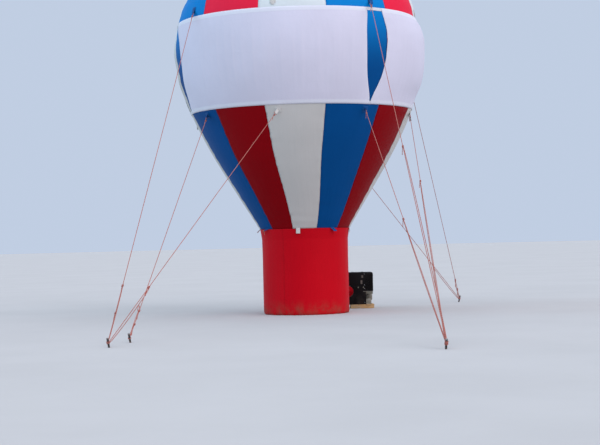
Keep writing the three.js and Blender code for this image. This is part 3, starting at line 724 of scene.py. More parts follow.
def studio_floor(name, colour):
    """A pale, matt floor with a faint mottle."""
    g = Finish(name)
    place = g.place()
    mottle = g.cloud(place, 0.35, 5, 0.6).rise(0.3, 0.7)
    tone = g.mix(mottle, shade(colour, 0.97), shade(colour, 1.02))
    return g.surface(tone, 0.92, g.cloud(place, 14, 4), depth=0.002,
                     more={"Specular IOR Level": 0.05})


class Piece:
    """A mesh in the making, with one UV layer for the weave and one for its edges' distances."""

    def __init__(self):
        self.bm = bmesh.new()
        self.weave = self.bm.loops.layers.uv.new("weave")
        self.edge = self.bm.loops.layers.uv.new("edge")

    def lay(self, verts, place, period=None):
        """Moves points to what place(point) gives, with their weave and edge distances. Across
        a closed turn, the weave's first number goes on rising."""
        weave, edge = {}, {}
        for vert in verts:
            vert.co, weave[vert], edge[vert] = place(vert.co.copy())
        for face in {face for vert in verts for face in vert.link_faces}:
            top = max(weave[loop.vert][0] for loop in face.loops)
            for loop in face.loops:
                x, y = weave[loop.vert]
                if period and top - x > period / 2:
                    x += period
                loop[self.weave].uv = (x, y)
                loop[self.edge].uv = edge[loop.vert]

    def sheet(self, columns, rows, place):
        """A grid bent to place(u, v), which gives a point, its weave and its edge distances."""
        made = bmesh.ops.create_grid(self.bm, x_segments=columns, y_segments=rows, size=0.5)
        self.lay(made["verts"], lambda point: place(point.x + 0.5, point.y + 0.5))
        return made["verts"]

    def tube(self, path, radius, sides=8, capped=True):
        """A round tube along the path: its weave is turns round it and metres along it."""
        points = [Vector(point) for point in path]
        last = len(points) - 1
        frames, runs = [], [0.0]
        side = None
        for i, point in enumerate(points):
            along = (points[min(i + 1, last)] - points[max(i - 1, 0)]).normalized()
            side = along.orthogonal() if side is None else side - along * side.dot(along)
            side.normalize()
            frames.append((side.copy(), along.cross(side)))
            if i:
                runs.append(runs[-1] + (point - points[i - 1]).length)
        width = radius if callable(radius) else lambda share: radius

        def place(u, v):
            i = round(v * last)
            a, b = frames[i]
            turn = math.tau * u
            reach = (a * math.cos(turn) + b * math.sin(turn)) * width(i / last)
            return points[i] + reach, (u, runs[i]), (0.1, min(runs[i], runs[last] - runs[i]))

        verts = self.sheet(sides, last, place)
        bmesh.ops.remove_doubles(self.bm, verts=verts, dist=1e-6)
        if capped:
            rims = [e for e in self.bm.edges if e.is_boundary and e.calc_length() < 0.5]
            bmesh.ops.holes_fill(self.bm, edges=rims, sides=0)

    def box(self, low, high, bevel, segments=2):
        """A block between two corners, with rounded edges."""
        low, high = Vector(low), Vector(high)
        matrix = Matrix.Translation((low + high) / 2) @ Matrix.Diagonal((*(high - low), 1))
        made = bmesh.ops.create_cube(self.bm, size=1, matrix=matrix)
        edges = {edge for vert in made["verts"] for edge in vert.link_edges}
        bmesh.ops.bevel(self.bm, geom=list(edges), offset=bevel, segments=segments,
                        profile=0.5, affect="EDGES", material=-1, clamp_overlap=True)

    def turned(self, profile, centre, axis, steps=32, start=None):
        """A profile of (distance out, distance along) pairs spun a full turn about an axis."""
        axis = Vector(axis).normalized()
        out = Vector(start) if start else axis.orthogonal().normalized()
        centre = Vector(centre)
        verts = [self.bm.verts.new(centre + out * r + axis * h) for r, h in profile]
        edges = [self.bm.edges.new(pair) for pair in zip(verts, verts[1:])]
        bmesh.ops.spin(self.bm, geom=verts + edges, cent=centre, axis=axis, angle=math.tau,
                       steps=steps, use_merge=True)
        poles = [v for v in self.bm.verts if (v.co - centre).cross(axis).length < 1e-7]
        bmesh.ops.remove_doubles(self.bm, verts=poles, dist=1e-6)

    def solid(self):
        """Merges doubles and turns every face outwards, for a piece with closed parts."""
        bmesh.ops.remove_doubles(self.bm, verts=self.bm.verts, dist=1e-6)
        bmesh.ops.recalc_face_normals(self.bm, faces=self.bm.faces)
        return self

    def outwards(self, inside):
        """Turns an open sheet's faces away from a point, or from what inside() gives."""
        self.bm.normal_update()
        total = 0.0
        for face in self.bm.faces:
            middle = face.calc_center_median()
            away = middle - (inside(middle) if callable(inside) else Vector(inside))
            total += face.normal.dot(away) * face.calc_area()
        if total < 0:
            bmesh.ops.reverse_faces(self.bm, faces=self.bm.faces)

    def finish(self, name, material, slot, replaces=(), thickness=0.0, offset=-1.0, crease=40.0):
        """Makes the object, lets it ride on its body, and hides the solids that it stands for."""
        mesh = bpy.data.meshes.new(name)
        for face in self.bm.faces:
            face.smooth = True
        self.bm.to_mesh(mesh)
        self.bm.free()
        mesh.set_sharp_from_angle(angle=math.radians(crease))
        mesh.materials.append(material)
        piece = placed(name, mesh)
        if thickness:
            cloth = piece.modifiers.new("Thickness", "SOLIDIFY")
            cloth.thickness = thickness
            cloth.offset = offset
        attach(piece, BODY)
        if replaces:
            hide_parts(*replaces)
        return piece


def copied_solid(node, bevel):
    """A merged copy of a CAD node's mesh with its sharp edges rounded."""
    piece = Piece()
    piece.bm.from_mesh(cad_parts[node].data)
    bmesh.ops.remove_doubles(piece.bm, verts=piece.bm.verts, dist=1e-5)
    bmesh.ops.dissolve_limit(piece.bm, angle_limit=math.radians(1), verts=piece.bm.verts,
                             edges=piece.bm.edges)
    sharp = [edge for edge in piece.bm.edges
             if edge.is_manifold and edge.calc_face_angle(0) > math.radians(30)]
    bmesh.ops.bevel(piece.bm, geom=sharp, offset=bevel, segments=2, profile=0.5,
                    affect="EDGES", material=-1, clamp_overlap=True)
    bmesh.ops.recalc_face_normals(piece.bm, faces=piece.bm.faces)
    return piece


def stake_line(name):
    """A stake's foot and its direction, leaning away from the balloon."""
    foot = Vector((*STAKES[name], 0))
    return foot, foot.normalized() * sind(STAKE_LEAN) + Vector((0, 0, cosd(STAKE_LEAN)))


def guy_line(name):
    """Where a rope's strap is sewn on, the skin's normal, its tie point and its direction."""
    azimuth, row, stake, place, _ = GUYS[name]
    anchor, normal = on_skin(azimuth, STRAP_ROWS[row])
    foot, lean = stake_line(stake)
    tie = foot + lean * (TIE_HEIGHT + place * TIE_STEP)
    return anchor, normal, tie, (tie - anchor).normalized()


def helix(centre, axis, radius, turns, pitch, start=0.0, per_turn=12):
    """Points of a winding about an axis."""
    axis = Vector(axis).normalized()
    a = axis.orthogonal().normalized()
    b = axis.cross(a)
    points = []
    for i in range(round(turns * per_turn) + 1):
        turn = start + math.tau * i / per_turn
        reach = (a * math.cos(turn) + b * math.sin(turn)) * radius
        points.append(Vector(centre) + reach + axis * pitch * (i / per_turn - turns / 2))
    return points


def add_ribbon(piece, line, across, width, gather=None):
    """Flat webbing along a line, its width along the given direction."""
    points = [Vector(point) for point in line]
    last = len(points) - 1
    runs = [0.0]
    for a, b in zip(points, points[1:]):
        runs.append(runs[-1] + (b - a).length)
    across = Vector(across).normalized()

    def place(u, v):
        i = round(v * last)
        wide = width * (gather(i / last) if gather else 1)
        offset = (u - 0.5) * wide
        return (points[i] + across * offset, ((u - 0.5) * width, runs[i]),
                ((0.5 - abs(u - 0.5)) * width, min(runs[i], runs[last] - runs[i])))

    return piece.sheet(6, last, place)


def curve_through(points, count):
    """Evenly numbered points of a smooth curve through the given ones."""
    points = [Vector(point) for point in points]
    ends = [points[0] * 2 - points[1], *points, points[-1] * 2 - points[-2]]
    line = []
    for i in range(count + 1):
        at = i / count * (len(points) - 1)
        k = min(int(at), len(points) - 2)
        t = at - k
        a, b, c, d = ends[k:k + 4]
        line.append(0.5 * (2 * b + (c - a) * t + (2 * a - 5 * b + 4 * c - d) * t * t
                           + (3 * b - a - 3 * c + d) * t ** 3))
    return line


def add_hitch(piece, centre, direction, turns=3, tail=0.07):
    """A rope hitch: tight windings about the rope, with a loose tail that hangs."""
    coil = helix(centre, direction, ROPE_R * 2.1, turns, ROPE_R * 2.1)
    out = (coil[-1] - Vector(centre)).normalized()
    end = coil[-1]
    for i in range(1, 6):
        t = i / 5
        coil.append(end + out * tail * 0.55 * t + direction * tail * 0.25 * t
                    - Vector((0, 0, tail * 0.7 * t * t)))
    piece.tube(coil, ROPE_R * 0.95, sides=7)


def add_screw(piece, spot, out, radius=0.006):
    """A cross-head screw's pan head, standing on a face."""
    profile = [(radius, 0), (radius, 0.0012), (radius * 0.86, 0.0026), (radius * 0.5, 0.0034),
               (radius * 0.26, 0.0034), (radius * 0.2, 0.0022), (0, 0.0022)]
    piece.turned(profile, spot, out, 14)


class ClothSettings(PropertyGroup):
    """Sizes and colours of the envelope, banners and base."""
    white: FloatVectorProperty(name="White", description="Colour of the white gores",
                               subtype="COLOR", default=(0.56, 0.54, 0.51), min=0, max=1)
    blue: FloatVectorProperty(name="Blue", description="Colour of the blue gores",
                              subtype="COLOR", default=(0.0, 0.064, 0.228), min=0, max=1)
    red: FloatVectorProperty(name="Red", description="Colour of the red gores",
                             subtype="COLOR", default=(0.235, 0.0, 0.003), min=0, max=1)
    # The lit colours are painted daylight: the gores are painted from their own colours low down
    # to these high up.
    white_lit: FloatVectorProperty(name="White, lit", description="White where daylight shows",
                                   subtype="COLOR", default=(0.65, 0.70, 0.71), min=0, max=1)
    blue_lit: FloatVectorProperty(name="Blue, lit", description="Blue where daylight shows",
                                  subtype="COLOR", default=(0.0, 0.197, 0.545), min=0, max=1)
    red_lit: FloatVectorProperty(name="Red, lit", description="Red where daylight shows",
                                 subtype="COLOR", default=(0.79, 0.016, 0.055), min=0, max=1)
    wall: FloatVectorProperty(name="Base red", description="Colour of the base and the sleeve",
                              subtype="COLOR", default=(0.52, 0.0015, 0.009), min=0, max=1)
    banner: FloatVectorProperty(name="Banner", description="Colour of the blank banners",
                                subtype="COLOR", default=(0.63, 0.61, 0.71), min=0, max=1)
    lobe: FloatProperty(name="Lobe depth", description="How deep the seams lie between the gores",
                        default=0.012, min=0, max=0.03, unit="LENGTH")
    pucker: FloatProperty(name="Pucker", description="Height of the puckers along the seams",
                          default=0.010, min=0, max=0.02, unit="LENGTH")
    fold: FloatProperty(name="Gathers", description="Height of the folds by the neck and the foot",
                        default=0.011, min=0, max=0.03, unit="LENGTH")
    pull: FloatProperty(name="Rope pull", description="How far a taut rope draws the skin out",
                        default=0.012, min=0, max=0.03, unit="LENGTH")
    pitch: FloatProperty(name="Row pitch", description="Height of one row of skin faces",
                         default=0.03, min=0.01, max=0.2, unit="LENGTH")
    columns: IntProperty(name="Gore columns", description="Faces across one gore",
                         default=24, min=4, max=64)


class RiggingSettings(PropertyGroup):
    """Sizes and colours of the straps, ropes and stakes."""
    rope: FloatVectorProperty(name="Rope", description="Colour of the ropes",
                              subtype="COLOR", default=(0.38, 0.09, 0.07), min=0, max=1)
    steel: FloatVectorProperty(name="Stake paint", description="Colour of the stakes' paint",
                               subtype="COLOR", default=(0.012, 0.012, 0.013), min=0, max=1)
    strand_gap: FloatProperty(name="Strand gap", description="Space between doubled strands",
                              default=0.022, min=0.011, max=0.05, unit="LENGTH")


class BlowerSettings(PropertyGroup):
    """Colours of the blower and its board."""
    cabinet: FloatVectorProperty(name="Cabinet", description="Colour of the blower's cabinet",
                                 subtype="COLOR", default=(0.003, 0.002, 0.0025), min=0, max=1)
    motor: FloatVectorProperty(name="Motor", description="Colour of the motor's enamel",
                               subtype="COLOR", default=(0.245, 0.235, 0.195), min=0, max=1)
    board: FloatVectorProperty(name="Board", description="Colour of the wooden board",
                               subtype="COLOR", default=(0.56, 0.34, 0.135), min=0, max=1)
    bevel: FloatProperty(name="Edge rounding", description="Rounding of the cabinet's edges",
                         default=0.004, min=0.001, max=0.01, unit="LENGTH")


class StudioSettings(PropertyGroup):
    """Camera, floor and lights."""
    lens: FloatProperty(name="Focal length", description="Focal length of the camera",
                        default=89.4, min=20, max=300, unit="CAMERA")
    floor: FloatVectorProperty(name="Floor", description="Colour of the floor",
                               subtype="COLOR", default=(0.48, 0.47, 0.465), min=0, max=1)
    sky: FloatVectorProperty(name="Surround", description="Colour of the light all round",
                             subtype="COLOR", default=(0.68, 0.79, 0.98), min=0, max=1)
    sky_strength: FloatProperty(name="Surround strength", description="Light from all round",
                                default=0.78, min=0, max=3)
    key: FloatProperty(name="Key light", description="Strength of the soft light, upper right",
                       default=1.15, min=0, max=20)
    top: FloatProperty(name="Top light", description="Strength of the soft light overhead",
                       default=1.6, min=0, max=20)
    fill: FloatProperty(name="Fill light", description="Strength of the soft light, left",
                        default=0.9, min=0, max=20)


FINISHES = {}


def finish_of(name, maker, *details, **more):
    """A material by its name, made the first time that it is asked for."""
    if name not in FINISHES:
        FINISHES[name] = maker(name, *details, **more)
    return FINISHES[name]


def gore_cloth(colour_name):
    cloth = bpy.context.scene.balloon_cloth
    # The lit colour paints daylight onto the gores high up.
    return finish_of(f"nylon_{colour_name}", coated_nylon, getattr(cloth, colour_name),
                     getattr(cloth, f"{colour_name}_lit"))


def strap_cloth(colour_name):
    colour = getattr(bpy.context.scene.balloon_cloth, colour_name)
    return finish_of(f"webbing_{colour_name}", sewn_webbing, colour)


def rope_finish():
    return finish_of("rope", laid_rope, bpy.context.scene.balloon_rigging.rope)


def black_steel():
    return finish_of("stake_steel", painted_steel, bpy.context.scene.balloon_rigging.steel, True)


def cabinet_plastic():
    return finish_of("cabinet_plastic", moulded_plastic, bpy.context.scene.balloon_blower.cabinet)


def zinc():
    return finish_of("wheel_metal", zinc_plate, (0.62, 0.64, 0.66))


def gore_at(azimuth):
    """A gore's number from 1, and its colour, at an azimuth."""
    number = int((azimuth - FIRST_SEAM) % 360 // GORE_SPAN) + 1
    return number, GORE_COLOURS[(number - 1) % 3]


class BALLOON_OT_camera(Operator):
    """Place the camera on the lawn in front of the balloon"""
    bl_idname = "balloon.camera"
    bl_label = "Camera"

    def execute(self, context):
        camera = placed("camera", bpy.data.cameras.new("camera"))
        camera.data.lens = context.scene.balloon_studio.lens
        camera.data.sensor_width = SENSOR_WIDTH
        camera.data.clip_end = 500
        camera.matrix_world = (Matrix.Translation(CAMERA_PLACE)
                               @ Matrix.Rotation(math.pi / 2 + CAMERA_UP, 4, "X")
                               @ Matrix.Rotation(CAMERA_LEAN, 4, "Z"))
        context.scene.camera = camera
        return {"FINISHED"}


class BALLOON_OT_gores(Operator):
    """Sew the twelve gores of the envelope"""
    bl_idname = "balloon.gores"
    bl_label = "Gores"

    def execute(self, context):
        cloth = context.scene.balloon_cloth
        rows = meridian(cloth.pitch)
        steps = [math.dist(a, b) for a, b in zip(rows, rows[1:])]
        area = sum(math.radians(GORE_SPAN) * (a[0] + b[0]) / 2 * step
                   for a, b, step in zip(rows, rows[1:], steps))
        for i in range(GORE_COUNT):
            colour = GORE_COLOURS[i % 3]
            start = FIRST_SEAM + i * GORE_SPAN
            piece = Piece()
            verts = [piece.bm.verts.new(around(start, r, z)) for r, z in rows]
            edges = [piece.bm.edges.new(pair) for pair in zip(verts, verts[1:])]
            bmesh.ops.spin(piece.bm, geom=verts + edges, cent=(0, 0, 0), axis=(0, 0, 1),
                           angle=math.radians(GORE_SPAN), steps=cloth.columns, use_merge=False)

            def place(point, start=start):
                radius, _, run = skin_at(point.z)
                across = min(1, max(0, turn_from(start, azimuth_of(point)) / GORE_SPAN))
                width = math.radians(GORE_SPAN) * radius
                azimuth = start + across * GORE_SPAN + twist_at(point.z)
                return (on_skin(azimuth, point.z)[0], ((across - 0.5) * width, run),
                        (min(across, 1 - across) * width, abs(NECK_RUN - run)))

            piece.lay(piece.bm.verts, place)
            piece.outwards(ENVELOPE_MIDDLE)
            name = f"{i + 1:02d}_{colour}"
            skin = piece.finish(f"skin_{name}", gore_cloth(colour), f"nylon_{colour}",
                                (f"gore_{name}",), thickness=SKIN_T, crease=60)
        return {"FINISHED"}


class BALLOON_OT_crown(Operator):
    """Sew the crown patch and its lifting loop"""
    bl_idname = "balloon.crown"
    bl_label = "Crown"

    def execute(self, context):
        piece = Piece()
        rings = [0.0, 0.04, 0.09, 0.14, 0.19, 0.235, 0.265, 0.288, 0.3]
        profile = [(r, math.sqrt(EQUATOR_R ** 2 - r ** 2) + CROWN_LIFT) for r in rings]
        piece.turned(profile, (0, 0, EQUATOR_Z), (0, 0, 1), 96, start=(0, -1, 0))

        def place(point):
            r = math.hypot(point.x, point.y)
            hem = abs((azimuth_of(point) + 180) % 45 - 22.5) * 0.004 + 0.02
            ripple = ruffle(point.x * 14, point.y * 14, 0)
            point.z += 0.004 * ripple * smooth(0.1, 0.26, r)
            return point, (point.x, point.y), (CROWN_PATCH_R - r, hem)

        piece.lay(piece.bm.verts, place)
        piece.outwards(ENVELOPE_MIDDLE)
        patch = piece.finish("crown_disc", gore_cloth("white"), "nylon_white", ("crown_patch",),
                             thickness=0.004, crease=70)
        top = EQUATOR_Z + EQUATOR_R + CROWN_LIFT + 0.002
        line = [(-0.125, 0.0), (-0.1, 0.001), (-0.078, 0.003)]
        line += [(-0.066 * cosd(a), 0.066 * sind(a)) for a in range(12, 169, 12)]
        line += [(0.078, 0.003), (0.1, 0.001), (0.125, 0.0)]
        loop = Piece()
        add_ribbon(loop, [Vector((x, 0, top + z)) for x, z in line], (0, 1, 0), 0.05)
        loop.finish("lifting_loop", strap_cloth("white"), "nylon_white", thickness=0.003,
                    offset=0)
        return {"FINISHED"}


class BALLOON_OT_strips(Operator):
    """Sew the two hook-and-loop strips round the envelope"""
    bl_idname = "balloon.strips"
    bl_label = "Strips"

    def execute(self, context):
        tape = finish_of("loop_tape", fleecy_strip, (0.66, 0.66, 0.68))
        for name, strip_z in STRIP_Z.items():
            low, high = STRIP_SEEN[name]
            middle, half = strip_z + (low + high) / 2, (high - low) / 2
            radius, slope, _ = skin_at(middle)
            piece = Piece()
            profile = [(skin_at(middle + half * share)[0], half * share)
                       for share in (-1, -0.93, -0.5, 0, 0.5, 0.93, 1)]
            piece.turned(profile, (0, 0, middle), (0, 0, 1), 240, start=(0, -1, 0))

            def place(point, middle=middle, half=half, radius=radius, slope=slope):
                azimuth = azimuth_of(point)
                rise = (point.z - middle) / cosd(slope)
                wander = 0.0015 * noise.noise(point * 3)
                return (on_skin(azimuth, point.z + wander, 0.003)[0],
                        (math.radians(azimuth) * radius, rise),
                        (half / cosd(slope) - abs(rise), 1))

            piece.lay(piece.bm.verts, place, math.tau * radius)
            piece.outwards(on_axis)
            strip = piece.finish(f"loop_tape_{name}", tape, "banner_white", (f"strip_{name}",),
                                 thickness=0.0022, offset=1)
            2 * half / cosd(slope)
            math.tau * radius
        return {"FINISHED"}


def parting_at(slope, side, rows=PARTING):
    """How far a banner's edge stays back at a slope, rounded between the measured values."""
    def straight(at):
        for upper, lower in zip(rows, rows[1:]):
            if at >= lower[0]:
                share = min(1, max(0, (upper[0] - at) / (upper[0] - lower[0])))
                return upper[side] + (lower[side] - upper[side]) * share
        return rows[-1][side]
    spread = (-2.4, -1.2, 0, 1.2, 2.4)
    return sum(straight(slope + offset) for offset in spread) / len(spread)


class BALLOON_OT_banners(Operator):
    """Hang the three blank banners between the strips"""
    bl_idname = "balloon.banners"
    bl_label = "Banners"

    def execute(self, context):
        colour = context.scene.balloon_cloth.banner
        cloth = finish_of("banner_cloth", printed_cloth, colour)
        top, bottom = STRIP_Z["top"] + STRIP_HALF, STRIP_Z["bottom"] - STRIP_HALF
        between = STRIP_Z["top"] - STRIP_Z["bottom"] - 2 * STRIP_HALF
        top_run, bottom_run = skin_at(top)[2], skin_at(bottom)[2]
        heights = [top + (bottom - top) * i / BANNER_LEVELS for i in range(BANNER_LEVELS + 1)]
        runs = [skin_at(z)[2] for z in heights]
        for i, name in enumerate(("front", "right", "rear")):
            start = FRONT_BANNER_AZIMUTH + (i - 0.5) * BANNER_SPAN
            wider = REAR_PARTING_WIDER if name == "rear" else 1

            def edges(slope, start=start, wider=wider, left=name == "front"):
                back = parting_at(slope, 1, LEFT_PARTING) if left else parting_at(slope, 2)
                return start + back, start + BANNER_SPAN - parting_at(slope, 1) * wider

            spans = []
            for z in heights:
                first, last = edges(skin_at(z)[1])
                spans.append(math.radians(last - first) * (skin_at(z)[0] + BANNER_PROUD))
            area = sum((spans[j] + spans[j + 1]) / 2 * (runs[j + 1] - runs[j])
                       for j in range(BANNER_LEVELS))

            def place(u, v, edges=edges, seed=i):
                z = bottom + (top - bottom) * v
                radius, slope, run = skin_at(z)
                first, last = edges(slope)
                azimuth = first + (last - first) * u
                share = min(1, max(0, (STRIP_Z["top"] - STRIP_HALF - z) / between))
                width = math.radians(last - first) * (radius + BANNER_PROUD)
                side = min(u, 1 - u) * width
                rim = min(run - top_run, bottom_run - run)
                bulge = math.sin(math.pi * share) * smooth(-0.04, 0.42, side)
                strain = ruffle(azimuth * 0.55, run * 0.35, seed * 7.7)
                gather = ruffle(azimuth * 1.3, run * 0.8, seed * 3.3)
                pull = ruffle(azimuth * 0.2, run * 3.4, seed * 5.1)
                lift = 0.0068 + BANNER_PROUD * bulge + bulge * 0.006 * strain
                lift += 0.006 * gather * math.exp(-rim / 0.22) * smooth(0.04, 0.13, rim)
                lift += 0.004 * pull * math.exp(-side / 0.3) * math.sin(math.pi * share)
                point, normal = on_skin(azimuth, z)
                plain = around(azimuth, radius, z) + normal * drift(azimuth, z)
                blend = min(1, max(0, rim / 0.2)) * smooth(0, 0.4, side)
                base = point * (1 - blend) + plain * blend
                return base + normal * lift, ((u - 0.5) * width, run), (side, max(0, rim))

            piece = Piece()
            piece.sheet(*BANNER_FACES, place)
            piece.outwards(on_axis)
            banner = piece.finish(f"banner_cloth_{name}", cloth, "banner_white",
                                  (f"banner_{name}",), thickness=0.0012, offset=1, crease=60)
            bottom_run - top_run
            min(area, (bottom_run - top_run) * max(spans))
        return {"FINISHED"}


def strap_loop(piece, start, direction, normal):
    """A folded strap: two plies from the skin, joined in an eye at the far end."""
    across = normal.cross(direction).normalized()
    face = direction.cross(across)
    line = [(-0.018, 0.0022), (0.02, 0.0024), (0.055, 0.0019), (0.095, 0.0026),
            (STRAP_LENGTH - 0.024, 0.0052)]
    back = [(along, -height) for along, height in reversed(line)]
    line += [(STRAP_LENGTH - STRAP_EYE + STRAP_EYE * cosd(a), STRAP_EYE * sind(a))
             for a in range(75, -76, -25)]
    points = [start + direction * along + face * height for along, height in line + back]
    add_ribbon(piece, points, across, STRAP_WIDTH,
               lambda share: 1 - 0.3 * math.exp(-((share - 0.5) / 0.16) ** 2))


def hanging_strap(piece, start, path, across, length, width=STRAP_WIDTH):
    """A free strap: two plies that follow a bent path, joined at the end."""
    count = 9
    outer = [path(i / (count - 1) * length) for i in range(count)]
    points = [point + face * STRAP_PLY for point, face in outer]
    tip, face = outer[-1]
    along = (outer[-1][0] - outer[-2][0]).normalized()
    points += [tip + along * 0.004 * cosd(a) + face * STRAP_PLY * sind(a) for a in (45, 0, -45)]
    points += [point - face * STRAP_PLY for point, face in reversed(outer)]
    add_ribbon(piece, [start + point for point in points], across, width)


def sewn_patch(piece, azimuth, z):
    """A stitched patch on the skin, under a strap."""
    radius, slope, _ = skin_at(z)

    def place(u, v):
        across, up = u - 0.5, v - 0.5
        point = on_skin(azimuth + math.degrees(across * PATCH_WIDTH / radius),
                        z + up * PATCH_HEIGHT * cosd(slope), PATCH_LIFT)[0]
        return (point, (across * PATCH_WIDTH, v * PATCH_HEIGHT),
                ((0.5 - abs(across)) * PATCH_WIDTH, (0.5 - abs(up)) * PATCH_HEIGHT))

    piece.sheet(8, 8, place)


class BALLOON_OT_straps(Operator):
    """Sew on the tie straps in their three rows"""
    bl_idname = "balloon.straps"
    bl_label = "Tie straps"

    def execute(self, context):
        tied = {(guy[0] % 360, guy[1]): name for name, guy in GUYS.items()}
        for i in range(8):
            azimuth = FIRST_STRAP_AZIMUTH + i * STRAP_STEP
            colour = gore_at(azimuth)[1]
            piece, patches = Piece(), Piece()
            side = around(azimuth + 90, 1, 0)
            for row, z in STRAP_ROWS.items():
                name = tied.get((azimuth % 360, row))
                start, normal = on_skin(azimuth, z)
                sewn_patch(patches, azimuth, z)
                if name:
                    anchor, normal, _, direction = guy_line(name)
                    strap_loop(piece, anchor, direction, normal)
                    continue

                def path(along, z=z, lies=row == "high", azimuth=azimuth, start=start):
                    level = z - along * (0.55 if lies else 0.98)
                    on, face = on_skin(azimuth, level, 0.008)
                    if lies:
                        return on - start, face
                    sway = around(azimuth, 0.012, 0) * math.sin(along * 16)
                    return Vector((0, 0, -along)) + sway + face * 0.008, around(azimuth, 1, 0)

                hanging_strap(piece, start, path, side, STRAP_LENGTH)
            low = azimuth + twist_at(NECK_Z)
            start = wall_at(low, NECK_Z - 0.001, 0.008) + Vector((0, 0, 0.03))

            def neck_path(along, low=low, lie=NECK_LIE.get(i, STRAIGHT_LIE)):
                curl, drop, shift = lie
                share = smooth(0.02, NECK_STRAP_LENGTH, along)
                offset = around(low, curl * share, -along * drop)
                return offset + around(low + 90, shift * share, 0), around(low, 1, 0)

            hanging_strap(piece, start, neck_path, around(low + 90, 1, 0), NECK_STRAP_LENGTH,
                          NECK_STRAP_WIDTH)
            if i == KNOTTED_STRAP:
                knot = Piece()
                spot, out = neck_path(NECK_STRAP_LENGTH)
                add_hitch(knot, start + spot + out * 0.01, around(low + 90, 1, 0), 3, 0.08)
                knot.finish("neck_knot", rope_finish(), "rope", crease=60)
            piece.bm.normal_update()
            piece.finish(f"tie_straps_{i + 1}", strap_cloth(colour), f"nylon_{colour}",
                         thickness=SKIN_T, offset=0, crease=60)
            patches.outwards(on_axis)
            patches.finish(f"strap_patches_{i + 1}", strap_cloth(colour), f"nylon_{colour}",
                           thickness=0.0012, offset=1, crease=60)
        return {"FINISHED"}


class BALLOON_OT_base(Operator):
    """Sew the inflated base: its wall and its floor"""
    bl_idname = "balloon.base"
    bl_label = "Base"

    def execute(self, context):
        red = context.scene.balloon_cloth.wall
        red_wall = finish_of("nylon_wall", coated_nylon, red, red, crease=0.7, streaks=1.3)
        levels = [0.0, 0.006, 0.013, 0.022, 0.035, 0.05, 0.07, 0.09]
        levels += [0.115 + 0.03 * i for i in range(52)]
        levels += [NECK_Z - 0.034, NECK_Z - 0.02, NECK_Z - 0.009, NECK_Z]
        piece = Piece()
        profile = [(WALL_R, level) for level in levels]
        piece.turned(profile, (0, 0, 0), (0, 0, 1), 180, start=(0, 1, 0))

        def place(point):
            azimuth, z = azimuth_of(point), point.z
            return (wall_at(azimuth, z), (math.radians(azimuth) * WALL_R, z),
                    (abs((azimuth - 60) % 180 - 90) / 90 * 1.35, NECK_Z - z))

        piece.lay(piece.bm.verts, place, math.tau * WALL_R)
        piece.outwards(on_axis)
        wall = piece.finish("wall_cloth", red_wall, "nylon_red", ("base_wall",),
                            thickness=SKIN_T, crease=70)

        piece = Piece()
        rings = [(0, 0.004), (0.2, 0.004), (0.4, 0.0045), (0.6, 0.004), (0.74, 0.003),
                 (0.8, 0.003), (0.824, 0.005), (0.836, 0.012)]
        piece.turned(rings, (0, 0, 0), (0, 0, 1), 96, start=(0, 1, 0))
        piece.lay(piece.bm.verts, lambda point: (
            point, (point.x, point.y),
            (abs(point.x) + 0.002, FLOOR_R - math.hypot(point.x, point.y))))
        piece.outwards((0, 0, 4))
        floor = piece.finish("floor_cloth", red_wall, "nylon_red", ("base_floor",),
                             thickness=0.002, crease=70)
        return {"FINISHED"}


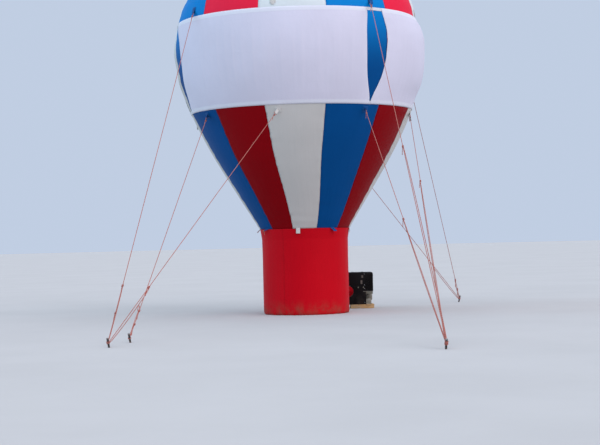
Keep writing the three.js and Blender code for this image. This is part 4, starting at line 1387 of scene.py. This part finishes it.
class BALLOON_OT_sleeve(Operator):
    """Fit the inflation sleeve between the blower and the base"""
    bl_idname = "balloon.sleeve"
    bl_label = "Inflation sleeve"

    def execute(self, context):
        # Painted shade: the whole sleeve's red is painted darker than the base's.
        painted_shade_red = shade(context.scene.balloon_cloth.wall, SLEEVE_PAINTED_SHADE)
        red = finish_of("nylon_sleeve", coated_nylon, painted_shade_red, painted_shade_red)
        line = curve_through(SLEEVE_PATH, SLEEVE_STEPS)
        piece = Piece()
        piece.tube(line, SLEEVE_R - 0.001, sides=48, capped=False)
        bend = (line[SLEEVE_STEPS // 2] - (line[0] + line[-1]) / 2).normalized()
        for vert in piece.bm.verts:
            nearest = min(range(len(line)), key=lambda k: (line[k] - vert.co).length_squared)
            share = nearest / SLEEVE_STEPS
            reach = vert.co - line[nearest]
            out = reach.normalized()
            free = smooth(0.1, 0.2, share) * smooth(0.02, 0.16, 1 - share)
            inner = max(0, -out.dot(bend))
            ring = math.sin(share * 88) * 0.0035 * inner
            slack = ruffle(out.x * 2.4, out.z * 2.4, share * 11)
            sag = -0.008 * max(0, -out.z) - 0.004 * max(0, out.z)
            clamp = -0.002 * math.exp(-((share - 0.075) / 0.02) ** 2)
            vert.co += out * (free * (ring + 0.006 * slack + sag - SLEEVE_NARROWS) + clamp)
            vert.co.z += SLEEVE_RISES * free
        piece.bm.normal_update()
        sleeve = piece.finish("sleeve_cloth", red, "nylon_red", ("inflation_sleeve",),
                              thickness=SKIN_T, crease=80)
        bits = Piece()
        where = line[CLAMP_STEP]
        ring = helix(where, (0, 1, 0), SLEEVE_R + 0.0012, 1, 0, per_turn=40)
        add_ribbon(bits, ring, (0, 1, 0), 0.025)
        bits.finish("sleeve_clamp", finish_of("black_webbing", sewn_webbing, (0.02, 0.02, 0.022)),
                    "rope", thickness=0.0016, offset=1)
        buckle = Piece()
        buckle.box(where + Vector((0.018, -0.016, SLEEVE_R - 0.002)),
                   where + Vector((0.052, 0.016, SLEEVE_R + 0.008)), 0.003)
        buckle.finish("clamp_buckle", black_steel(), "stake_steel")
        end, before = line[-1], line[-4]
        along = (end - before).normalized()
        a = Vector((0, 0, 1)).cross(along).normalized()
        b = along.cross(a)

        def place(u, v):
            turn = math.tau * u
            rim = SLEEVE_R + 0.001 + SLEEVE_FLANGE * v
            spot = end - along * 0.3 + (a * math.cos(turn) + b * math.sin(turn)) * rim
            low, high = 0.0, 0.4
            for _ in range(24):
                middle = (low + high) / 2
                probe = spot + along * middle
                if math.hypot(probe.x, probe.y) > WALL_FACE_R:
                    low = middle
                else:
                    high = middle
            probe = spot + along * low
            point = wall_at(azimuth_of(probe), probe.z, 0.003)
            side = (0.5 - abs(v - 0.5)) * SLEEVE_FLANGE
            return point, (turn * SLEEVE_R, v * SLEEVE_FLANGE), (side, 1)

        flange = Piece()
        verts = flange.sheet(64, 3, place)
        bmesh.ops.remove_doubles(flange.bm, verts=verts, dist=1e-6)
        flange.outwards((0, 0, 0.33))
        flange.finish("sleeve_flange", strap_cloth("wall"), "nylon_red", thickness=0.002, offset=1)
        return {"FINISHED"}


class BALLOON_OT_ropes(Operator):
    """Rig the guy ropes with their loops, hitches and doubled strands"""
    bl_idname = "balloon.ropes"
    bl_label = "Guy ropes"

    def execute(self, context):
        gap = context.scene.balloon_rigging.strand_gap
        for name, (_, _, stake, place, share) in GUYS.items():
            anchor, normal, tie, direction = guy_line(name)
            lean = stake_line(stake)[1]
            across = normal.cross(direction).normalized()
            length = (tie - anchor).length
            piece = Piece()
            eye = anchor + direction * (STRAP_LENGTH - STRAP_EYE)
            loop = [(0.075, 0.003), (0.05, 0.012), (0.022, 0.024), (0.004, 0.026), (0, 0.016),
                    (0, 0)]
            loop += [(along, -wide) for along, wide in reversed(loop[:-1])]
            piece.tube([eye + direction * along + across * wide for along, wide in loop], ROPE_R,
                       sides=8)
            add_hitch(piece, eye + direction * 0.085, direction, 3)
            start = eye + direction * 0.068
            end = tie - direction * (STAKE_R + ROPE_R * 0.5)
            count = 40
            piece.tube([start.lerp(end, i / count) for i in range(count + 1)], ROPE_R, sides=10)
            knot = anchor + direction * length * share
            add_hitch(piece, knot, direction, 4, 0.09)
            second = [knot.lerp(end, i / 24) + across * gap * math.sin(math.pi * i / 24) ** 0.5
                      + across * ROPE_R * 2 for i in range(25)]
            piece.tube(second, ROPE_R, sides=8)
            if name in RETIED_GUYS:
                further = length * share + 0.5 * (1 - share) * length
                add_hitch(piece, anchor + direction * further, direction, 3, 0.12)
            if name == LOOPED_GUY:
                middle = knot + across * 0.04
                piece.tube([middle + (across * cosd(a) + direction * sind(a) * 1.5) * 0.04
                            for a in range(0, 361, 20)], ROPE_R * 0.95, sides=8)
            winding = helix(tie, lean, STAKE_R + ROPE_R, 1.5, 0.0112, start=place * 1.3,
                            per_turn=20)
            piece.tube(winding, ROPE_R, sides=8)
            piece.finish(f"rope_{name}", rope_finish(), "rope", (f"guy_{name}",), crease=60)
        hook = Piece()
        anchor, normal, _, direction = guy_line(HOOKED_GUY)
        across = normal.cross(direction).normalized()
        at = anchor + direction * 0.3
        oval = [at + direction * 0.055 * cosd(a) + across * 0.024 * sind(a)
                for a in range(20, 381, 20)]
        hook.tube(oval, 0.0045, sides=10)
        hook.tube(helix(anchor + direction * 0.42, direction, 0.0095, 9, 0.0105), 0.005, sides=7)
        hook.finish("snap_hook", black_steel(), "stake_steel", crease=60)
        return {"FINISHED"}


class BALLOON_OT_stakes(Operator):
    """Drive the ground stakes with their hammered heads"""
    bl_idname = "balloon.stakes"
    bl_label = "Stakes"

    def execute(self, context):
        for name in STAKES:
            foot, lean = stake_line(name)
            out = Vector((0, 0, 1)).cross(lean).normalized()
            piece = Piece()
            piece.turned(STAKE_PROFILE, foot, lean, 28, start=out)
            for vert in piece.bm.verts:
                along = (vert.co - foot).dot(lean)
                if along > 0.13:
                    reach = vert.co - foot - lean * along
                    dent = noise.noise(vert.co * 90 + Vector((len(name), 0, 0)))
                    vert.co += reach * 0.12 * dent + lean * 0.0016 * dent
            bm = piece.bm
            bmesh.ops.bisect_plane(bm, geom=[*bm.verts, *bm.edges, *bm.faces],
                                   plane_co=(0, 0, 0.0004), plane_no=(0, 0, 1), clear_inner=True)
            bmesh.ops.holes_fill(bm, edges=[e for e in bm.edges if e.is_boundary], sides=0)
            piece.solid().finish(f"driven_stake_{name}", black_steel(), "stake_steel",
                                 (f"stake_{name}",), crease=50)
        return {"FINISHED"}


class BALLOON_OT_cabinet(Operator):
    """Build the blower's cabinet with its ribs, top strap, bracket and blank plates"""
    bl_idname = "balloon.cabinet"
    bl_label = "Blower cabinet"

    def execute(self, context):
        low, high = CABINET
        bevel = context.scene.balloon_blower.bevel
        shell = copied_solid("blower_cabinet", bevel)
        shell.finish("cabinet_shell", cabinet_plastic(), "cabinet_plastic", ("blower_cabinet",),
                     crease=38)
        trim = Piece()
        rib_top = high.z - 0.04
        for i in range(9):
            x = NOTCH_X + 0.016 * i
            for y0, y1 in ((low.y - 0.006, low.y + 0.002), (high.y - 0.002, high.y + 0.006)):
                trim.box((x, y0, NOTCH_Z + 0.035), (x + 0.007, y1, rib_top), 0.0025)
        for i in range(7):
            z = 0.45 + 0.032 * i
            trim.box((high.x - 0.002, 1.47, z), (high.x + 0.006, 1.81, z + 0.009), 0.003)
        for x0, x1 in ((low.x - 0.003, low.x + 0.05), (high.x - 0.05, high.x + 0.003)):
            trim.box((x0, low.y - 0.003, high.z - 0.09), (x1, low.y + 0.03, high.z - 0.035), 0.006)
        for y in (low.y - 0.004, high.y - 0.004):
            trim.box((0.83, y, 0.452), (1.14, y + 0.008, 0.468), 0.003)
        for x in (0.985, 1.205):
            trim.box((x - 0.022, AXLE_Y - 0.024, high.z - 0.001),
                     (x + 0.022, AXLE_Y + 0.024, high.z + 0.007), 0.003)
        trim.solid().finish("cabinet_ribs", cabinet_plastic(), "cabinet_plastic")
        handle = Piece()
        lie = [(0.975, 0.006), (1.0, 0.008), (1.03, 0.005), (1.095, 0.004), (1.16, 0.005),
               (1.19, 0.008), (1.215, 0.006)]
        line = curve_through([(x, AXLE_Y, high.z + z) for x, z in lie], 40)
        add_ribbon(handle, line, (0, 1, 0), 0.032)
        rubber = finish_of("rubber", moulded_rubber, (0.014, 0.014, 0.014))
        handle.finish("carry_strap", rubber, "cabinet_plastic", thickness=0.003, offset=0)
        plate = Piece()
        plate.box((1.172, low.y - 0.0025, 0.64), (1.208, low.y + 0.001, 0.69), 0.0012)
        plate.box((1.152, low.y - 0.0025, 0.51), (1.19, low.y + 0.001, 0.59), 0.0012)
        blank = finish_of("plate_metal", enamelled_metal, (0.09, 0.075, 0.06))
        plate.solid().finish("blank_plates", blank, "motor_grey")
        bracket = Piece()
        bracket.box((NOTCH_X + 0.002, low.y + 0.001, NOTCH_Z - 0.058),
                    (1.408, low.y + 0.004, NOTCH_Z + 0.001), 0.001)
        bracket.box((1.205, low.y - 0.003, NOTCH_Z - 0.016),
                    (1.408, low.y + 0.012, NOTCH_Z - 0.001), 0.0015)
        for x in (1.102, 1.21):
            bracket.box((x - 0.013, low.y - 0.005, 0.425),
                        (x + 0.013, low.y + 0.001, 0.447), 0.002)
            bracket.box((x - 0.006, low.y - 0.009, 0.43),
                        (x + 0.006, low.y - 0.002, 0.459), 0.002)
        dull = finish_of("bracket_metal", enamelled_metal, (0.13, 0.135, 0.1))
        bracket.solid().finish("cabinet_bracket", dull, "motor_grey", crease=50)
        screws = Piece()
        for x in (low.x + 0.022, 1.235):
            for z in (0.12, 0.41, 0.49, 0.72):
                add_screw(screws, (x, low.y, z), (0, -1, 0))
                add_screw(screws, (x, high.y, z), (0, 1, 0))
        for y in (low.y + 0.03, high.y - 0.03):
            for z in (0.12, 0.43, 0.7):
                add_screw(screws, (low.x, y, z), (-1, 0, 0))
        screws.solid().finish("cabinet_screws", zinc(), "wheel_metal", crease=50)
        inlet = copied_solid("power_inlet", 0.003)
        inlet.finish("inlet_housing", cabinet_plastic(), "cabinet_plastic", ("power_inlet",))
        pins = Piece()
        for x, z in ((0.92, 0.593), (0.94, 0.593), (0.93, 0.61)):
            pins.box((x - 0.0035, high.y + 0.01, z - 0.001),
                     (x + 0.0035, high.y + 0.036, z + 0.001), 0.0006, 1)
        pins.box((0.905, high.y - 0.001, 0.655), (0.955, high.y + 0.008, 0.685), 0.003)
        pins.box((0.911, high.y + 0.006, 0.66), (0.949, high.y + 0.0125, 0.68), 0.003)
        pins.solid().finish("inlet_pins", zinc(), "wheel_metal")
        return {"FINISHED"}


class BALLOON_OT_collar(Operator):
    """Finish the outlet collar and the impeller, whose solids keep their shape"""
    bl_idname = "balloon.collar"
    bl_label = "Collar and impeller"

    def execute(self, context):
        painted = finish_of("collar_steel", painted_steel, context.scene.balloon_rigging.steel)
        for node, material in (("outlet_collar", painted), ("blower_impeller", zinc())):
            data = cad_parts[node].data
            data.materials.clear()
            data.materials.append(material)
        return {"FINISHED"}


class BALLOON_OT_motor(Operator):
    """Build the motor with its fins, end bells, fan cowl and terminal box"""
    bl_idname = "balloon.motor"
    bl_label = "Motor"

    def execute(self, context):
        x0, x1 = MOTOR_X
        centre = Vector((0, AXLE_Y, AXLE_Z))
        grey = finish_of("motor_grey", enamelled_metal, context.scene.balloon_blower.motor)
        body = Piece()
        profile = [(0, x0), (0.05, x0), (0.056, x0 + 0.004), (0.062, x0 + 0.018),
                   (0.096, x0 + 0.024), (MOTOR_R - 0.002, x0 + 0.032), (MOTOR_R, x0 + 0.045),
                   (MOTOR_R, x0 + 0.075)]
        for i in range(12):
            x = x0 + 0.082 + i * 0.0125
            profile += [(MOTOR_R - 0.01, x), (FIN_R - 0.001, x + 0.0015), (FIN_R, x + 0.0035),
                        (FIN_R - 0.001, x + 0.0055), (MOTOR_R - 0.01, x + 0.007)]
        profile += [(MOTOR_R - 0.002, x1 - 0.085), (MOTOR_R, x1 - 0.08), (MOTOR_R, x1 - 0.02),
                    (MOTOR_R - 0.005, x1 - 0.006), (0.097, x1 - 0.001), (0.092, x1),
                    (0.088, x1 - 0.004), (0.074, x1 - 0.004), (0.07, x1 - 0.001),
                    (0.066, x1 - 0.004), (0.05, x1 - 0.004), (0.046, x1 - 0.001),
                    (0.042, x1 - 0.004), (0.026, x1 - 0.004), (0.022, x1 - 0.001),
                    (0, x1 - 0.001)]
        body.turned(profile, centre, (1, 0, 0), 56, start=(0, 0, 1))
        half = MOTOR_FOOT_HALF
        body.box((x0 + 0.012, AXLE_Y - half, CABINET[0].z + 0.0005),
                 (x1 - 0.012, AXLE_Y + half, 0.1), 0.003)
        body.box((x0 + 0.03, AXLE_Y - 0.09, 0.098), (x1 - 0.02, AXLE_Y + 0.09, 0.2), 0.012)
        body.box((x0 + 0.1, AXLE_Y - 0.115, 0.29), (x0 + 0.2, AXLE_Y - 0.06, 0.35), 0.006)
        body.turned([(0, 0.966), (0.0122, 0.966), (0.0122, x0 + 0.01), (0, x0 + 0.01)],
                    centre + Vector((-0.036, 0, 0)), (1, 0, 0), 28)
        body.solid().finish("motor_body", grey, "motor_grey", ("blower_motor",), crease=35)
        bolts = Piece()
        for i in range(4):
            a = 45 + 90 * i
            spot = centre + Vector((x0 + 0.025, 0.08 * cosd(a), 0.08 * sind(a)))
            bolts.turned([(0.008, 0), (0.008, -0.007), (0.006, -0.009), (0, -0.009)],
                         spot, (1, 0, 0), 6)
        for x in (x0 + 0.03, x1 - 0.03):
            for y in (AXLE_Y - 0.098, AXLE_Y + 0.098):
                add_screw(bolts, (x, y, 0.1), (0, 0, 1))
        bolts.solid().finish("motor_bolts", zinc(), "wheel_metal", crease=50)
        return {"FINISHED"}


class BALLOON_OT_guard(Operator):
    """Bend the wire guard over the blower's intake"""
    bl_idname = "balloon.guard"
    bl_label = "Intake guard"

    def execute(self, context):
        wire = finish_of("guard_wire", painted_steel, (0.02, 0.02, 0.022))
        face = CABINET[0].x
        centre = Vector((face - 0.0003, AXLE_Y, AXLE_Z))
        piece = Piece()
        piece.turned([(0.14, 0), (0.14, 0.0015), (0.134, 0.003), (0.12, 0.003), (0.1165, 0.0015),
                      (0.1165, 0), (0.14, 0)], centre, (-1, 0, 0), 64)
        for radius in (0.117, 0.102, 0.087, 0.072, 0.057, 0.042, 0.027):
            bulge = 0.009 - 0.0045 * (radius / 0.117) ** 2
            ring = helix(centre - Vector((bulge, 0, 0)), (1, 0, 0), radius, 1, 0, per_turn=48)
            piece.tube(ring[:-1] + [ring[0]], 0.0018, sides=7, capped=False)
        for i in range(8):
            a = 22.5 + 45 * i
            spoke = []
            for j in range(9):
                radius = 0.016 + 0.112 * j / 8
                bulge = 0.0062 - 0.0048 * (radius / 0.128) ** 4
                spoke.append(centre + Vector((-bulge, radius * cosd(a), radius * sind(a))))
            piece.tube(spoke, 0.0022, sides=7)
        piece.turned([(0, 0.002), (0.02, 0.002), (0.0205, 0.006), (0.018, 0.0095), (0, 0.0105)],
                     centre, (-1, 0, 0), 32)
        piece.solid().finish("intake_guard", wire, "guard_wire", ("intake_grille",), crease=50)
        bolts = Piece()
        for i in range(8):
            a = 45 * i
            add_screw(bolts, centre + Vector((-0.003, 0.128 * cosd(a), 0.128 * sind(a))),
                      (-1, 0, 0), 0.0045)
        bolts.solid().finish("guard_screws", zinc(), "wheel_metal", crease=50)
        return {"FINISHED"}


class BALLOON_OT_board(Operator):
    """Nail the wooden board under the blower"""
    bl_idname = "balloon.board"
    bl_label = "Board"

    def execute(self, context):
        low, high = BOARD
        colour = context.scene.balloon_blower.board
        plank = (high.x - low.x - (PLANKS - 1) * PLANK_GAP) / PLANKS
        starts = [low.x + i * (plank + PLANK_GAP) for i in range(PLANKS)]
        rows = (low.y + BEARER_SET_BACK, (low.y + high.y - BEARER) / 2,
                high.y - BEARER_SET_BACK - BEARER)
        planks = Piece()
        for x in starts:
            planks.box((x, low.y, high.z - DECK), (x + plank, high.y, high.z), 0.0028)
        deck_wood = finish_of("deck_wood", sawn_wood, colour, math.pi / 2)
        planks.solid().finish("board_planks", deck_wood, "board_wood", ("blower_board",),
                              crease=35)
        bearers = Piece()
        for y in rows:
            bearers.box((low.x + 0.004, y, 0), (high.x - 0.004, y + BEARER, high.z - DECK), 0.0035)
        bearers.solid().finish("board_bearers", finish_of("bearer_wood", sawn_wood, colour),
                               "board_wood", crease=35)
        nails = Piece()
        head = [(0.0045, -0.001), (0.0045, 0.0004), (0.003, 0.0009), (0, 0.0009)]
        for x in starts:
            for share in (0.2, 0.8):
                for y in rows:
                    nails.turned(head, (x + plank * share, y + BEARER / 2, high.z), (0, 0, 1), 12)
        nails.solid().finish("board_nails", black_steel(), "stake_steel", crease=50)
        return {"FINISHED"}


class BALLOON_OT_stage(Operator):
    """Lay the pale floor and set the soft lights"""
    bl_idname = "balloon.stage"
    bl_label = "Stage"

    def execute(self, context):
        studio = context.scene.balloon_studio
        mesh = bpy.data.meshes.new("floor")
        bm = bmesh.new()
        bmesh.ops.create_circle(bm, cap_ends=True, radius=180, segments=96)
        bm.to_mesh(mesh)
        bm.free()
        mesh.materials.append(finish_of("studio_floor", studio_floor, studio.floor))
        placed("floor", mesh)
        lights = (
            ("key", (1.0, -0.9, 0.75), 60, studio.key, (1, 0.87, 0.9)),
            ("top", (0.15, -0.2, 1.0), 110, studio.top, (0.97, 0.98, 1)),
            ("fill", (-1.0, -0.05, 0.4), 50, studio.fill, (0.35, 0.75, 1)),
        )
        for name, towards, spread, strength, colour in lights:
            light = bpy.data.lights.new(name, "SUN")
            light.angle = math.radians(spread)
            light.energy = strength
            light.color = colour
            lamp = placed(name, light)
            lamp.rotation_euler = Vector(towards).to_track_quat("Z", "Y").to_euler()
        world = bpy.data.worlds.new("surround")
        world.use_nodes = True
        backdrop = world.node_tree.nodes["Background"]
        backdrop.inputs["Color"].default_value = (*studio.sky, 1)
        backdrop.inputs["Strength"].default_value = studio.sky_strength
        context.scene.world = world
        context.scene.view_settings.view_transform = "Standard"
        return {"FINISHED"}


GROUPS = {
    "balloon_cloth": ClothSettings,
    "balloon_rigging": RiggingSettings,
    "balloon_blower": BlowerSettings,
    "balloon_studio": StudioSettings,
}
STEPS = (
    BALLOON_OT_camera, BALLOON_OT_gores, BALLOON_OT_crown, BALLOON_OT_strips,
    BALLOON_OT_banners, BALLOON_OT_straps, BALLOON_OT_base, BALLOON_OT_sleeve,
    BALLOON_OT_ropes, BALLOON_OT_stakes, BALLOON_OT_cabinet, BALLOON_OT_collar,
    BALLOON_OT_motor, BALLOON_OT_guard, BALLOON_OT_board, BALLOON_OT_stage,
)


class BALLOON_PT_panel(Panel):
    """Lists the balloon's pieces and its settings"""
    bl_idname = "BALLOON_PT_panel"
    bl_label = "Standing balloon"
    bl_space_type = "VIEW_3D"
    bl_region_type = "UI"
    bl_category = "Balloon"

    def draw(self, context):
        for group, settings in GROUPS.items():
            box = self.layout.box()
            for name in settings.__annotations__:
                box.prop(getattr(context.scene, group), name)
        for step in STEPS:
            self.layout.operator(step.bl_idname)


def register():
    for group, settings in GROUPS.items():
        bpy.utils.register_class(settings)
        setattr(bpy.types.Scene, group, PointerProperty(type=settings))
    for step in STEPS:
        bpy.utils.register_class(step)
    bpy.utils.register_class(BALLOON_PT_panel)


def unregister():
    bpy.utils.unregister_class(BALLOON_PT_panel)
    for step in reversed(STEPS):
        bpy.utils.unregister_class(step)
    for group, settings in GROUPS.items():
        delattr(bpy.types.Scene, group)
        bpy.utils.unregister_class(settings)


def main():
    register()
    for step in STEPS:
        group, name = step.bl_idname.split(".")
        getattr(getattr(bpy.ops, group), name)()


if __name__ == "__main__":
    main()
